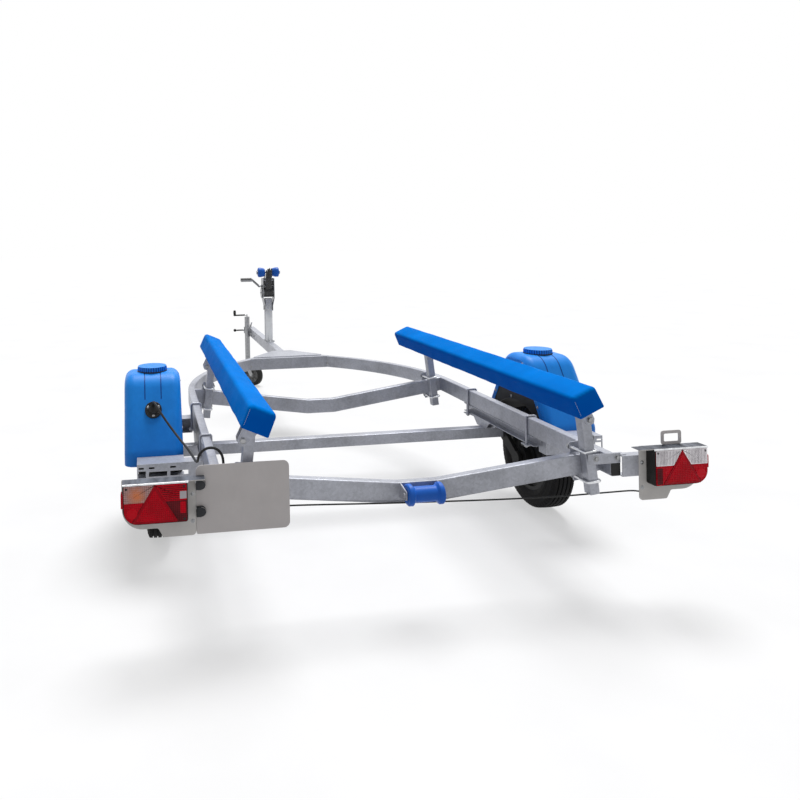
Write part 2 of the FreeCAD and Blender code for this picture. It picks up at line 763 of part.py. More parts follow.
def post(post_place, back, low_top):
    """A leaning square post behind a V beam, its U-bolts, and the eared saddle under the bunk."""
    along, out = bunk_axes()
    saddle_mid = Vec(bunk_middle, rear + back - post_side / 2, bunk_height) - out * (bunk_thick / 2 + seat_gap)
    saddle_low = saddle_mid - out * saddle_thick
    line_z, slope = beam_line(post_place, low_top)
    foot = Vec(post_place, rear + back - post_side / 2, line_z)
    lean = math.radians(post_lean)
    rise = Vec(-math.sin(lean), 0, math.cos(lean))
    side = Vec(math.cos(lean), 0, math.sin(lean))
    start = foot - rise * post_below
    end = foot + rise * (saddle_low.z - foot.z + post_side)
    path = Part.Wire(Part.LineSegment(start, end).toShape())
    outer = swept(path, rectangle(start, side, Y, post_side, post_side, post_wall))
    hole = post_side - 2 * post_wall
    inner = swept(path, rectangle(start, side, Y, hole, hole, post_wall / 2))
    tube = outer.cut(inner)
    # The post's top is cut to the underside of the tilted saddle
    reach = along * (2 * bunk_wide)
    corners = [saddle_low - reach, saddle_low + reach, saddle_low + reach + out * bunk_wide,
               saddle_low - reach + out * bunk_wide]
    shift = Y * -overrun
    above = slab([c + shift for c in corners], [0] * len(corners), Y * (2 * overrun))
    tube = tube.cut(above)

    half = saddle_wide / 2
    deep = post_side / 2 + steel
    a, b = along * half, Y * (deep + saddle_overhang)
    base = slab([saddle_low - a - b, saddle_low + a - b, saddle_low + a + b, saddle_low - a + b],
                [post_wall * 3] * 4, out * saddle_thick)
    bolt_mid = saddle_low - out * ear_drop + along * (math.sin(bunk_turn + lean) * ear_drop / 2)
    pieces = [tube, base]
    for y in (-deep, deep - steel):
        w = along * (half - saddle_overhang)
        e = along * ear_eye
        points = [saddle_low - w, saddle_low + w, bolt_mid + e - out * rod, bolt_mid + e / 2 - out * ear_eye,
                  bolt_mid - e / 2 - out * ear_eye, bolt_mid - e - out * rod]
        points = [p + Y * y for p in points]
        pieces.append(slab(points, [0] * len(points), Y * steel))
    pieces.append(bar(bolt_mid - Y * (deep + nut_high), bolt_mid + Y * (deep + nut_high), rod))
    pieces.append(bar(bolt_mid - Y * (deep + nut_high), bolt_mid - Y * deep, nut_across / 2))
    pieces.append(bar(bolt_mid + Y * (deep + nut_high), bolt_mid + Y * deep, nut_across / 2))

    # Two U-bolts hold the post to the beam, through a backing plate on the beam's front face
    up = Vec(-math.sin(slope), 0, math.cos(slope))
    level = beam_high / 2 + rod + post_bolt_gap
    front_face = Y * (post_side / 2 + beam_deep)
    for way in (-1, 1):
        middle = foot + up * (way * level) - Y * (post_side / 2 + rod - seat_gap)
        across = Vec(math.cos(slope), 0, math.sin(slope))
        span = post_side + 2 * rod + post_wall
        length = post_side + rod + beam_deep + steel + 3 * nut_high / 2 + rod
        pieces.append(u_bolt(middle, across, Y, span, length))
    tall = beam_high / 2 + backing_margin
    wide = Vec(math.cos(slope), 0, math.sin(slope)) * (backing_wide / 2)
    at = foot + front_face
    points = [at - wide - up * tall, at + wide - up * tall, at + wide + up * tall, at - wide + up * tall]
    pieces.append(slab(points, [rod] * len(points), Y * steel))
    return join(pieces)


def keel_roller():
    y = rear + rear_beam_rear - roller_from_beam
    z = rear_beam_low_top - roller_below_beam_top
    half = roller_long / 2
    flat = half - roller_flange
    waist = flat - roller_slope
    drawn = [(-half, 0), (-half, roller_end_radius - rod), (-half + rod, roller_end_radius),
             (-flat, roller_end_radius), (-waist, roller_waist_radius),
             (waist, roller_waist_radius), (flat, roller_end_radius),
             (half - rod, roller_end_radius), (half, roller_end_radius - rod), (half, 0)]
    points = [Vec(x, y, z + r) for x, r in drawn]
    face = Part.Face(rounded_edges(points, [0, rod / 2, rod / 2, rod / 2, rod, rod, rod / 2, rod / 2, rod / 2, 0], True))
    roller = face.revolve(Vec(0, y, z), X, 360)
    bore = roller_pin + shaft_clearance
    roller = roller.cut(bar(Vec(-half - overrun, y, z), Vec(half + overrun, y, z), bore))
    save(roller, "keel_roller")

    inner = half + roller_gap
    outer = inner + bracket_thick
    beam_y = rear + rear_beam_rear
    pieces = [bar(Vec(-outer - rod, y, z), Vec(outer + rod, y, z), roller_pin)]
    for x in (-outer, inner):
        points = [Vec(x, beam_y, z - roller_waist_radius), Vec(x, y - 2 * roller_pin, z - 2 * roller_pin),
                  Vec(x, y - 2 * roller_pin, z + 2 * roller_pin), Vec(x, beam_y, z + roller_waist_radius)]
        pieces.append(slab(points, [0, roller_pin, roller_pin, 0], X * bracket_thick))
    pieces.append(block(-outer, outer, beam_y - bracket_thick, beam_y, z - roller_waist_radius,
                        z + roller_waist_radius))
    save(join(pieces), "keel_roller_bracket")


def lamps():
    x1 = lamp_outer
    x0 = x1 - lamp_wide
    z1 = lamp_top
    z0 = z1 - lamp_high
    points = [Vec(x0, rear, z0), Vec(x1, rear, z0), Vec(x1, rear, z1), Vec(x0, rear, z1)]
    small = lamp_small_round
    lamp = slab(points, [small, lamp_round, small, small], Y * lamp_deep)
    both_sides(lamp, "tail_lamp")

    # Carrier plate behind the lamp, notched below, with a wire handle on its top edge
    y = rear + lamp_deep
    plate_top = lamp_top + sheet
    drop = (z0 - plate_low) / 2
    points = [Vec(plate_inner, y, plate_low), Vec(plate_step, y, plate_low),
              Vec(plate_step + plate_step_run, y, plate_low + drop), Vec(plate_outer, y, plate_low + drop),
              Vec(plate_outer, y, plate_top), Vec(plate_inner, y, plate_top)]
    plate = slab(points, [3 * rod, 2 * rod, 2 * rod, plate_round, rod, rod], Y * sheet)
    hood = block(hood_inner, lamp_outer, y - hood_deep, y, lamp_top, plate_top)
    both_sides(join([plate, hood]), "lamp_plate")

    # Flat loop that stands on the right plate's top edge
    middle = Vec((handle_inner + handle_outer) / 2, y, plate_top + handle_high / 2)
    wide = handle_outer - handle_inner
    loop = Part.Face(rectangle(middle, X, Z, wide, handle_high, 2 * rod)).extrude(Y * sheet)
    window = rectangle(middle, X, Z, wide - 2 * handle_bar, handle_high - 2 * handle_bar, rod)
    save(loop.cut(Part.Face(window).extrude(Y * sheet)), "lamp_handle")


def lamp_bars():
    """Channels that carry the lamps, outboard of the rails' rear ends, and their angle brackets."""
    y0 = rear + lamp_deep + sheet
    y1 = y0 + bar_deep
    wall = tube_wall
    channel = block(rail_outer, bar_outer, y0, y1, rail_low, rail_top)
    channel = channel.cut(block(rail_outer - overrun, bar_outer + overrun, y0 + wall, y1 + overrun,
                                rail_low + wall, rail_top - wall))
    angle_y = rear + rail_rear
    plate = block(angle_inner, rail_outer, angle_y - wall, angle_y, angle_low, angle_top)
    flange = block(rail_inner, rail_outer + angle_over, angle_y - wall, y1, rail_top, rail_top + wall)
    both_sides(join([channel, plate, flange]), "lamp_bar")


def number_panel():
    """Blank panel beside the left lamp, with the strap that ties it to the lamp's plate."""
    y = rear + lamp_deep
    points = [Vec(-panel_outer, y, panel_low), Vec(-panel_inner, y, panel_low),
              Vec(-panel_inner, y, panel_top), Vec(-panel_outer, y, panel_top)]
    panel = slab(points, [rod, panel_round, panel_round, panel_round], Y * sheet)
    strap = block(-plate_inner - strap_over, -panel_outer + strap_over, y + sheet, y + 2 * sheet,
                  panel_low + 2 * rod, rail_low - rod)
    pieces = [panel, strap]
    # Two small lamps light the number from its outer edge
    depth = plate_light_deep
    for height in plate_light_heights:
        centre = Vec(-panel_outer + plate_light_radius, y, height)
        pieces.append(bar(centre - Y * depth, centre, plate_light_radius))
    save(join(pieces), "number_panel")


def winch():
    half = winch_post_side / 2
    y0 = rear + winch_post_rear
    y_mid = y0 + half
    centre = Vec(0, y_mid, rail_top + steel)
    path = Part.Wire(Part.LineSegment(centre, Vec(0, y_mid, winch_post_top)).toShape())
    outer, inner = box_tube(path, centre, X, Y, winch_post_side, winch_post_side, tube_wall)
    foot = block(-drawbar_wide / 2 - 2 * rod, drawbar_wide / 2 + 2 * rod, y0 - 6 * rod, y0 + winch_post_side + 6 * rod,
                 rail_top, rail_top + steel)
    brace = [Vec(-sheet, y0, rail_top + steel), Vec(-sheet, y0 - 6 * rod, rail_top + steel),
             Vec(-sheet, y0, rail_top + 12 * rod)]
    web = slab(brace, [0] * len(brace), X * (2 * sheet))
    save(join([outer.cut(inner), foot, web]), "winch_post")

    # Winch frame: two plates on the post's sides that flare out above it
    wide = winch_half_wide
    t = winch_plate
    plates = []
    profile = [Vec(half, 0, winch_plate_low), Vec(half, 0, winch_flare_low), Vec(wide, 0, winch_flare_high),
               Vec(wide, 0, winch_plate_top), Vec(wide + t, 0, winch_plate_top), Vec(wide + t, 0, winch_flare_high),
               Vec(half + t, 0, winch_flare_low), Vec(half + t, 0, winch_plate_low)]
    depth0 = y_mid - winch_plate_long / 2
    one = slab([p + Y * depth0 for p in profile], [0] * len(profile), Y * winch_plate_long)
    trim = drum_spot()
    bore = shaft_radius + shaft_clearance
    holes = [bar(trim - X * overrun * 2, trim + X * overrun * 2, bore)]
    spot = pinion_spot()
    holes.append(bar(spot - X * overrun * 2, spot + X * overrun * 2, bore))
    frame = [one, one.mirror(HOME, X)]
    tie_y = depth0 + winch_plate_long - t
    frame.append(block(-wide, wide, tie_y, tie_y + t, winch_flare_high, winch_plate_top))
    save(join(frame).cut(Part.makeCompound(holes)), "winch_frame")

    # Drum with the wound strap's core, its flanges and the driven gear outside the left plate
    span = wide - 2 * roller_gap
    drum = [bar(trim - X * (wide + t + 2 * gear_thick), trim + X * (wide + t + gear_thick), shaft_radius),
            bar(trim - X * span, trim + X * span, drum_radius)]
    for x in (-span, span - drum_flange):
        drum.append(bar(trim + X * x, trim + X * (x + drum_flange), drum_flange_radius))
    gear_x = -wide - t - roller_gap - gear_thick
    drum.append(gear(trim + X * gear_x, gear_radius, gear_teeth, gear_thick))
    save(join(drum), "winch_drum")
    strap = pipe(trim - X * (span - drum_flange - seat_gap), trim + X * (span - drum_flange - seat_gap),
                 strap_radius, drum_radius + seat_gap)
    save(strap, "winch_strap")

    # Crank: the pinion on its shaft, an arm on the left side and a turning grip
    left = -crank_root
    arm_root = Vec(left, spot.y, spot.z)
    crank = [bar(Vec(left - crank_bar_thick, spot.y, spot.z), spot + X * (wide + t + roller_gap), shaft_radius)]
    pinion = bar(spot + X * gear_x, spot + X * (gear_x + gear_thick), pinion_radius)
    crank.append(pinion)
    tip = arm_root - X * crank_outset - Y * crank_reach + Z * crank_rise
    lead = (arm_root - tip).normalize() * (crank_bar_wide / 2)
    side = lead.cross(X).normalize() * (crank_bar_wide / 2)
    points = [arm_root + side + lead, arm_root - side + lead, tip - side - lead, tip + side - lead]
    crank.append(slab(points, [crank_bar_wide / 3] * 4, X * -crank_bar_thick))
    grip_start = tip - X * crank_bar_thick
    crank.append(bar(grip_start, grip_start - X * crank_grip_long, crank_grip_radius))
    save(join(crank), "winch_crank")


def drum_spot():
    return Vec(0, rear + winch_post_rear + winch_post_side / 2, drum_height)


def pinion_spot():
    return Vec(0, rear + winch_post_rear + winch_post_side / 2, pinion_height)


def gear(start, radius, teeth, thick):
    """A spur gear as a toothed outline, with straight-sided teeth."""
    points = []
    root = radius - thick / 2
    step = 2 * math.pi / teeth
    for tooth in range(teeth):
        for reach, share in zip((root, radius, radius, root), tooth_shares):
            angle = (tooth + share) * step
            points.append(start + Vec(0, math.cos(angle), math.sin(angle)) * reach)
    return slab(points, [0] * len(points), X * thick)


def bow_stop():
    """Two rollers on a pin above the winch, held by two ears on a cross plate."""
    y = rear + winch_post_rear + winch_post_side / 2 - bow_back
    pin = Vec(0, y, bow_height)
    ear0, ear1 = bow_ear, bow_ear + bracket_thick
    start = ear1 + roller_gap / 2
    reach = start + bow_roller_long
    pieces = [bar(pin - X * (reach + 2 * rod), pin + X * (reach + 2 * rod), bow_pin)]
    for sign in (-1, 1):
        pieces.append(bar(pin + X * (sign * (reach + roller_gap)), pin + X * (sign * (reach + 2 * rod)), 2 * bow_pin))
    plate_z = winch_plate_top - 4 * rod
    y_mid = rear + winch_post_rear + winch_post_side / 2
    for x in (-ear1, ear0):
        points = [Vec(x, y_mid - winch_plate_long / 3, plate_z), Vec(x, y_mid + winch_plate_long / 3, plate_z),
                  Vec(x, y_mid, bow_height + 2 * bow_pin), Vec(x, y - 2 * bow_pin, bow_height + 2 * bow_pin),
                  Vec(x, y - 2 * bow_pin, bow_height - 2 * bow_pin)]
        pieces.append(slab(points, [0, 0, bow_pin, bow_pin, 0], X * bracket_thick))
    pieces.append(block(-winch_half_wide, winch_half_wide, y_mid - winch_plate_long / 3,
                        y_mid + winch_plate_long / 3, plate_z, plate_z + bracket_thick))
    save(join(pieces), "bow_stop_bracket")

    small = bow_roller_radius - 2 * rod
    for name, sign in (("bow_roller_left", -1), ("bow_roller_right", 1)):
        drawn = [(start, 0), (start, small), (start + 2 * rod, bow_roller_radius - rod),
                 (start + 6 * rod, bow_roller_radius), (reach - rod, bow_roller_radius), (reach, small), (reach, 0)]
        points = [Vec(sign * x, y, bow_height + r) for x, r in drawn]
        face = Part.Face(rounded_edges(points, [0, rod, rod, rod, rod, rod, 0], True))
        roller = face.revolve(pin, X, 360)
        bore = bow_pin + shaft_clearance
        save(roller.cut(bar(pin - X * (reach + overrun), pin + X * (reach + overrun), bore)), name)


def strap_tail():
    """The strap's free end behind the drum, with a hook over the pin of the bow rollers."""
    y_mid = drum_spot().y
    pin_y = y_mid - bow_back
    tail_y = y_mid - tail_from_drum
    half = tail_wide / 2
    top = bow_height - bow_pin - hook_rod
    strap = block(-half, half, tail_y - sheet, tail_y, tail_low, top)
    y = tail_y - sheet / 2
    over = bow_height + bow_pin + hook_rod
    points = [Vec(0, y, top - hook_drop), Vec(0, y, over), Vec(0, 2 * pin_y - y, over),
              Vec(0, 2 * pin_y - y, bow_height - hook_drop / 2)]
    bend = bow_pin
    path = rounded_edges(points, [0, bend, bend, 0], False)
    hook = swept(path, Part.Wire(Part.Circle(points[0], Z, hook_rod).toShape()))
    save(join([strap, hook]), "winch_strap_tail")


def coupling():
    """Pressed coupling head on the drawbar's front end, with its ball socket and hand lever."""
    outer_r = socket_radius + socket_wall
    ball = Vec(0, front - outer_r, socket_height)
    y0 = rear + drawbar_front
    half = drawbar_wide / 2
    top = socket_height + outer_r
    skin = socket_wall
    shank_low = rail_top - drawbar_high + tube_wall + seat_gap
    shank_top = rail_top - tube_wall - seat_gap
    width = half - tube_wall - seat_gap
    shank_mid = Vec(0, y0 - 2 * overrun, (shank_low + shank_top) / 2)
    shank = Part.Face(rectangle(shank_mid, X, Z, 2 * width, shank_top - shank_low, tube_corner)).extrude(Y * (2 * overrun))
    base = rectangle(Vec(0, y0, rail_top - drawbar_high / 2), X, Z, drawbar_wide, drawbar_high, tube_corner)
    middle_y = (y0 + ball.y) / 2
    mid_z = (rail_top - drawbar_high / 2 + socket_height) / 2
    waist = rectangle(Vec(0, middle_y, mid_z + rod), X, Z, drawbar_wide, drawbar_high - 2 * rod, tube_corner)
    nose = rectangle(Vec(0, ball.y, socket_height + rod), X, Z, 2 * outer_r - rod, outer_r + 2 * rod, tube_corner)
    neck = Part.makeLoft([base, waist, nose], True, True)
    cup = bar(ball - Z * socket_skirt, ball + Z * (outer_r - 2 * rod), outer_r)
    dome = Part.makeSphere(outer_r, ball + Z * rod)
    dome = dome.common(block(-outer_r, outer_r, ball.y - outer_r, front, ball.z, top + rod))
    head = join([shank, neck, cup, dome])
    hollow = bar(ball - Z * (socket_skirt + overrun), ball, socket_radius)
    hollow = hollow.fuse(Part.makeSphere(socket_radius, ball))
    head = head.cut(hollow)
    save(head, "coupling_head")

    # Hand lever over the head, turned up at its rear end
    lever_y1 = ball.y - rod
    lever_y0 = y0 - 4 * rod
    z = top + 3 * rod
    points = [Vec(-rod, lever_y1, top - rod), Vec(-rod, lever_y1 + 2 * rod, z), Vec(-rod, lever_y0, rail_top + 7 * rod),
              Vec(-rod, lever_y0 - 6 * rod, rail_top + 11 * rod), Vec(-rod, lever_y0 - 6 * rod, rail_top + 8 * rod),
              Vec(-rod, lever_y0, rail_top + 4 * rod), Vec(-rod, lever_y1 - 6 * rod, z - 2 * rod),
              Vec(-rod, lever_y1 - 6 * rod, top - rod)]
    lever = slab(points, [0, rod, rod, rod, rod, rod, rod, 0], X * (2 * rod))
    save(lever.cut(head), "coupling_lever")


def jockey_axis():
    return Vec(-(drawbar_wide / 2 + jockey_gap + jockey_radius), rear + jockey_from_rear, 0)


def jockey():
    axis = jockey_axis()
    at = lambda z: axis + Z * z
    bore = jockey_radius + shaft_clearance

    # Clamp: a split ring round the outer tube on a pad against the drawbar, with its screw and knob
    ring = bar(at(clamp_low), at(clamp_high), jockey_radius + clamp_ring)
    pad = block(axis.x, -drawbar_wide / 2, axis.y - 6 * rod, axis.y + 6 * rod, clamp_low, clamp_high)
    body = join([ring, pad]).cut(bar(at(clamp_low - overrun), at(clamp_high + overrun), bore))
    body = body.cut(block(-drawbar_wide / 2, drawbar_wide / 2, axis.y - overrun, axis.y + overrun, clamp_low, clamp_high))
    mid = (clamp_low + clamp_high) / 2
    screw_start = at(mid) - X * (jockey_radius + clamp_ring / 2)
    screw_end = screw_start - X * clamp_screw_long
    knob = Part.makeSphere(clamp_knob_radius, screw_end)
    boss = bar(screw_start, screw_start - X * (3 * rod), 2 * rod)
    save(join([body, boss, bar(screw_start, screw_end, rod * 4 / 5), knob]), "jockey_clamp")

    # Outer tube with its bearing cap, and the crank on top
    tube = pipe(at(jockey_tube_low), at(jockey_top), jockey_radius, jockey_radius - jockey_wall)
    lid = bar(at(jockey_top - jockey_wall), at(jockey_top + jockey_wall), jockey_radius)
    spindle_up = bar(at(jockey_top), at(jockey_top + 5 * rod), rod)
    elbow = at(jockey_top + 4 * rod)
    arm_end = elbow - X * crank_arm_reach
    arm = bar(elbow, arm_end, rod)
    grip = bar(arm_end - Z * rod, arm_end + Z * (9 * rod), rod * 2)
    save(join([tube, lid, spindle_up, arm, grip]), "jockey_outer_tube")

    # Inner tube, sliding in the outer one, with the castor's bearing plate at its foot
    slide = jockey_radius - jockey_wall - shaft_clearance
    sleeve = pipe(at(inner_low), at(inner_top), slide, slide - inner_wall)
    foot = bar(at(inner_low - steel), at(inner_low), jockey_radius)
    foot = foot.cut(bar(at(inner_low - steel - overrun), at(inner_low + overrun), king_pin + shaft_clearance))
    save(join([sleeve, foot]), "jockey_inner_tube")

    for shape, name in ((castor_fork(axis), "jockey_fork"), (castor_wheel(axis), "jockey_wheel")):
        shape.rotate(axis, Z, castor_turn)
        save(shape, name)


def castor_fork(axis):
    """Fork that trails behind its swivel, drawn straight and turned afterwards."""
    top = crown_low + steel
    half = castor_wheel_wide / 2 + castor_side_gap
    hub = axis + Vec(0, -castor_trail, castor_wheel_radius)
    swivel = Vec(axis.x, axis.y, top - steel)
    head = Vec(axis.x, axis.y, inner_low + nut_high)
    pieces = [bar(swivel, swivel + Z * steel, jockey_radius), bar(swivel, head, king_pin),
              bar(head - Z * (nut_high - roller_gap / 4), head, nut_across / 2)]
    for x in (axis.x - half - fork_thick, axis.x + half):
        points = [Vec(x, axis.y - jockey_radius, top - steel), Vec(x, axis.y + jockey_radius, top - steel),
                  Vec(x, axis.y + jockey_radius / 2, top - 4 * steel), Vec(x, hub.y + 3 * rod, hub.z - 2 * rod),
                  Vec(x, hub.y - 3 * rod, hub.z - 2 * rod), Vec(x, hub.y - 3 * rod, hub.z + 4 * rod)]
        pieces.append(slab(points, [0, 0, rod, 2 * rod, 2 * rod, 2 * rod], X * fork_thick))
    pieces.append(block(axis.x - half - fork_thick, axis.x + half + fork_thick, axis.y - jockey_radius,
                        axis.y + jockey_radius, top - steel, top))
    pieces.append(bar(hub - X * (half + fork_thick + rod), hub + X * (half + fork_thick + rod), castor_pin))
    return join(pieces)


def castor_wheel(axis):
    hub = axis + Vec(0, -castor_trail, castor_wheel_radius)
    half, big = castor_wheel_wide / 2, castor_wheel_radius
    rim = big * castor_rim_share
    drawn = [(-half, castor_pin + shaft_clearance), (-half, 3 * castor_pin), (-half / 2, 3 * castor_pin + rod),
             (-half / 2, rim - rod), (-half, rim), (-half, big - 3 * rod), (-half + 2 * rod, big), (half - 2 * rod, big),
             (half, big - 3 * rod), (half, rim), (half / 2, rim - rod), (half / 2, 3 * castor_pin + rod),
             (half, 3 * castor_pin), (half, castor_pin + shaft_clearance)]
    points = [Vec(hub.x + x, hub.y, hub.z + r) for x, r in drawn]
    radii = [0, 0, 0, 0, rod / 2, 2 * rod, 2 * rod, 2 * rod, 2 * rod, rod / 2, 0, 0, 0, 0]
    return Part.Face(rounded_edges(points, radii, True)).revolve(hub, X, 360)


def hose_gland():
    """Block on the left rail's inner face that the tank's hose goes into."""
    half = hose_gland_side / 2
    y = rear + hose_gland_from_rear
    low = hose_gland_top - hose_gland_high
    save(block(-rail_inner, -rail_inner + hose_gland_side, y - half, y + half, low, hose_gland_top), "hose_gland")


def cord(points, radius, name):
    """A cord's plain tube: straight runs joined by tangent arcs, as large as the runs allow."""
    route = [Vec(x, rear + y, z) for x, y, z in points]
    radii = [0]
    for i in range(1, len(route) - 1):
        back, ahead = route[i - 1] - route[i], route[i + 1] - route[i]
        turn = math.pi - back.getAngle(ahead)
        radii.append(cord_arc_share * min(back.Length, ahead.Length) / math.tan(turn / 2))
    radii.append(0)
    path = rounded_edges(route, radii, False)
    ring = Part.Wire(Part.Circle(route[0], route[1] - route[0], radius).toShape())
    tube = swept(path, ring)
    expected = math.pi * radius ** 2 * path.Length
    print(name, "length", round(path.Length), "smallest radius", round(min(r for r in radii if r)),
          "volume over section times length", round(tube.Volume / expected, 3))
    save(tube, name)


def main():
    os.makedirs("parts", exist_ok=True)
    chassis()
    axle()
    carriers()
    wheels()
    mudguards()
    stays()
    bunks()
    posts("rear_bunk_post", rear_beam_rear, rear_beam_low_top)
    posts("front_bunk_post", middle_beam_rear, middle_beam_low_top)
    keel_roller()
    lamps()
    lamp_bars()
    number_panel()
    winch()
    bow_stop()
    strap_tail()
    coupling()
    jockey()
    hose_gland()
    cord(lamp_cable_route, lamp_cable_radius, "lamp_cable")
    cord(tank_hose_route, tank_hose_radius, "tank_hose")


main()
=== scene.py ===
from functools import partialmethod
from math import asin, atan, atan2, copysign, cos, exp, pi, radians, sin, sqrt, tan

import bmesh
import bpy
from mathutils import Matrix, Vector, noise


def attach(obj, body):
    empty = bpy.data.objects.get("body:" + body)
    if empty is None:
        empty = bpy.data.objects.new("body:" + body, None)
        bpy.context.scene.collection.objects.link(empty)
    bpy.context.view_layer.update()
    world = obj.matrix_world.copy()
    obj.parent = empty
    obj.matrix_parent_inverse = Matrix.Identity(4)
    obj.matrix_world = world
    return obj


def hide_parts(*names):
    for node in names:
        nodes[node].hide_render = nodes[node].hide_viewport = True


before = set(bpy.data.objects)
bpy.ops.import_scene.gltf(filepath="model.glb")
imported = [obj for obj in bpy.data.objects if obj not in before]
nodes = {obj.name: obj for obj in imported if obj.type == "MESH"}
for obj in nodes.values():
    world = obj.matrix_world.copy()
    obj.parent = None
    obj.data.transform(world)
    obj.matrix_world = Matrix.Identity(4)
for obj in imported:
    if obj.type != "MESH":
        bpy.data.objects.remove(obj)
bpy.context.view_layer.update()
scene = bpy.context.scene

MM = 0.001
LAMP_FACE = -2.255  # the lamps' rear faces, along the trailer, in metres
X, Y, Z = Vector((1, 0, 0)), Vector((0, 1, 0)), Vector((0, 0, 1))
HAND = {-1: "left", 1: "right"}

# Places and sizes in millimetres, the same as in the solids
TYRE_RADIUS, TRACK_HALF, WHEEL_AHEAD = 252, 976, 953
GUARD_MIDDLE, GUARD_HALF, GUARD_TOP_HALF, GUARD_KNEE, GUARD_TOP = 995, 293, 104, 475, 785
RAIL_TOP, RAIL_INNER, RAIL_MIDDLE, RAIL_HEIGHT = 542, 749, 769, 502
LAMP_OUTER, LAMP_LOW, LAMP_WIDE, LAMP_HIGH = 1110, 434, 224, 140
JOCKEY_AHEAD = 4180


def spot(x, ahead, z):
    """A point given in millimetres: to the right, ahead of the lamps' rear faces, above the ground."""
    return Vector((x * MM, LAMP_FACE + ahead * MM, z * MM))


# Node trees


class Value:
    """A socket of a node tree. Arithmetic on it adds Math nodes."""

    def __init__(self, tree, socket):
        self.tree = tree
        self.socket = socket

    def worked(self, operation, *others):
        return self.tree.add("Math", dict(enumerate((self, *others))), operation=operation)

    __add__ = partialmethod(worked, "ADD")
    __sub__ = partialmethod(worked, "SUBTRACT")
    __mul__ = partialmethod(worked, "MULTIPLY")
    __pow__ = partialmethod(worked, "POWER")
    __gt__ = partialmethod(worked, "GREATER_THAN")
    __lt__ = partialmethod(worked, "LESS_THAN")
    wave = partialmethod(worked, "SINE")
    cosine = partialmethod(worked, "COSINE")
    angle_from = partialmethod(worked, "ARCTAN2")
    size = partialmethod(worked, "ABSOLUTE")
    larger = partialmethod(worked, "MAXIMUM")


class Tree:
    """A tree of shader nodes, all of them added by one method."""

    def __init__(self, tree):
        self.tree = tree

    def add(self, kind, sockets=None, output=0, **settings):
        node = self.tree.nodes.new("ShaderNode" + kind)
        for name, value in settings.items():
            setattr(node, name, value)
        for name, value in (sockets or {}).items():
            self.feed(value, node.inputs[name])
        return Value(self, node.outputs[output])

    def feed(self, value, socket):
        if isinstance(value, Value):
            self.tree.links.new(value.socket, socket)
        else:
            socket.default_value = value

    def spread(self, value, low, high, out_low=0, out_high=1):
        """A value stretched from one range onto another, and kept inside it."""
        return self.add("MapRange", {0: value, 1: low, 2: high, 3: out_low, 4: out_high}, clamp=True)

    def seen(self):
        """One for what the camera sees, also reflected or through a lens, and zero for other light."""
        rays = [self.add("LightPath", output=name)
                for name in ("Is Camera Ray", "Is Glossy Ray", "Is Transmission Ray")]
        return rays[0].larger(rays[1]).larger(rays[2])


class Finish(Tree):
    """A material, with the nodes that feed its shader."""

    def __init__(self, name, **constants):
        self.material = bpy.data.materials.new(name)
        self.material.use_nodes = True
        super().__init__(self.material.node_tree)
        self.shader = self.tree.nodes["Principled BSDF"]
        self.places = self.add("TexCoord", output="Object")
        self.coat(**constants)

    def coat(self, **sockets):
        for name, value in sockets.items():
            self.feed(value, self.shader.inputs[name.replace("_", " ")])

    def done(self, colour, rough, bump, **sockets):
        """Feed the shader a colour, a spread of roughness and a bump, and give the material."""
        self.coat(Base_Color=colour, Roughness=self.spread(*rough), Normal=self.bump(*bump), **sockets)
        return self.material

    def place(self, stretch=(1, 1, 1), turn=(0, 0, 0)):
        """The piece's own coordinates in metres, stretched and turned."""
        return self.add("Mapping", {"Vector": self.places, "Scale": stretch, "Rotation": turn})

    def noise(self, scale, detail=3, rough=0.55, stretch=(1, 1, 1), bend=0):
        return self.add("TexNoise", {"Vector": self.place(stretch), "Scale": scale, "Detail": detail,
                                     "Roughness": rough, "Distortion": bend})

    def handled(self):
        """The cloudy tone of moulded plastic, and its handling marks."""
        return self.noise(9, 4, 0.6), self.noise(55, 5, 0.72, stretch=(1, 1, 0.4))

    def axis(self, name, turn=(0, 0, 0)):
        return self.add("SeparateXYZ", {0: self.place(turn=turn)}, name)

    def facing(self, name):
        """How far the surface faces along an axis."""
        return self.add("SeparateXYZ", {0: self.add("NewGeometry", output="Normal")}, name)

    def mix(self, share, first, second):
        """A mix of two colours, each of them a socket or three numbers."""
        first, second = (c if isinstance(c, Value) else (*c, 1) for c in (first, second))
        return self.add("Mix", {0: share, 6: first, 7: second}, 2, data_type="RGBA")

    def shade(self, value, low, high, dark, light):
        """A colour between two, by where a value lies between two others."""
        return self.mix(self.spread(value, low, high), dark, light)

    def bump(self, height, strength, depth, under=None):
        sockets = {"Height": height, "Strength": strength, "Distance": depth}
        if under is not None:
            sockets["Normal"] = under
        return self.add("Bump", sockets)

    def edges(self, radius):
        """How far the surface turns within a radius, high along worn edges, and the rounded normal."""
        rounded = self.add("Bevel", {"Radius": radius}, samples=4)
        own = self.add("NewGeometry", output="Normal")
        same = self.add("VectorMath", {0: rounded, 1: own}, "Value", operation="DOT_PRODUCT")
        return self.spread(same, 0.98, 0.8), rounded


# Camera, light and floor


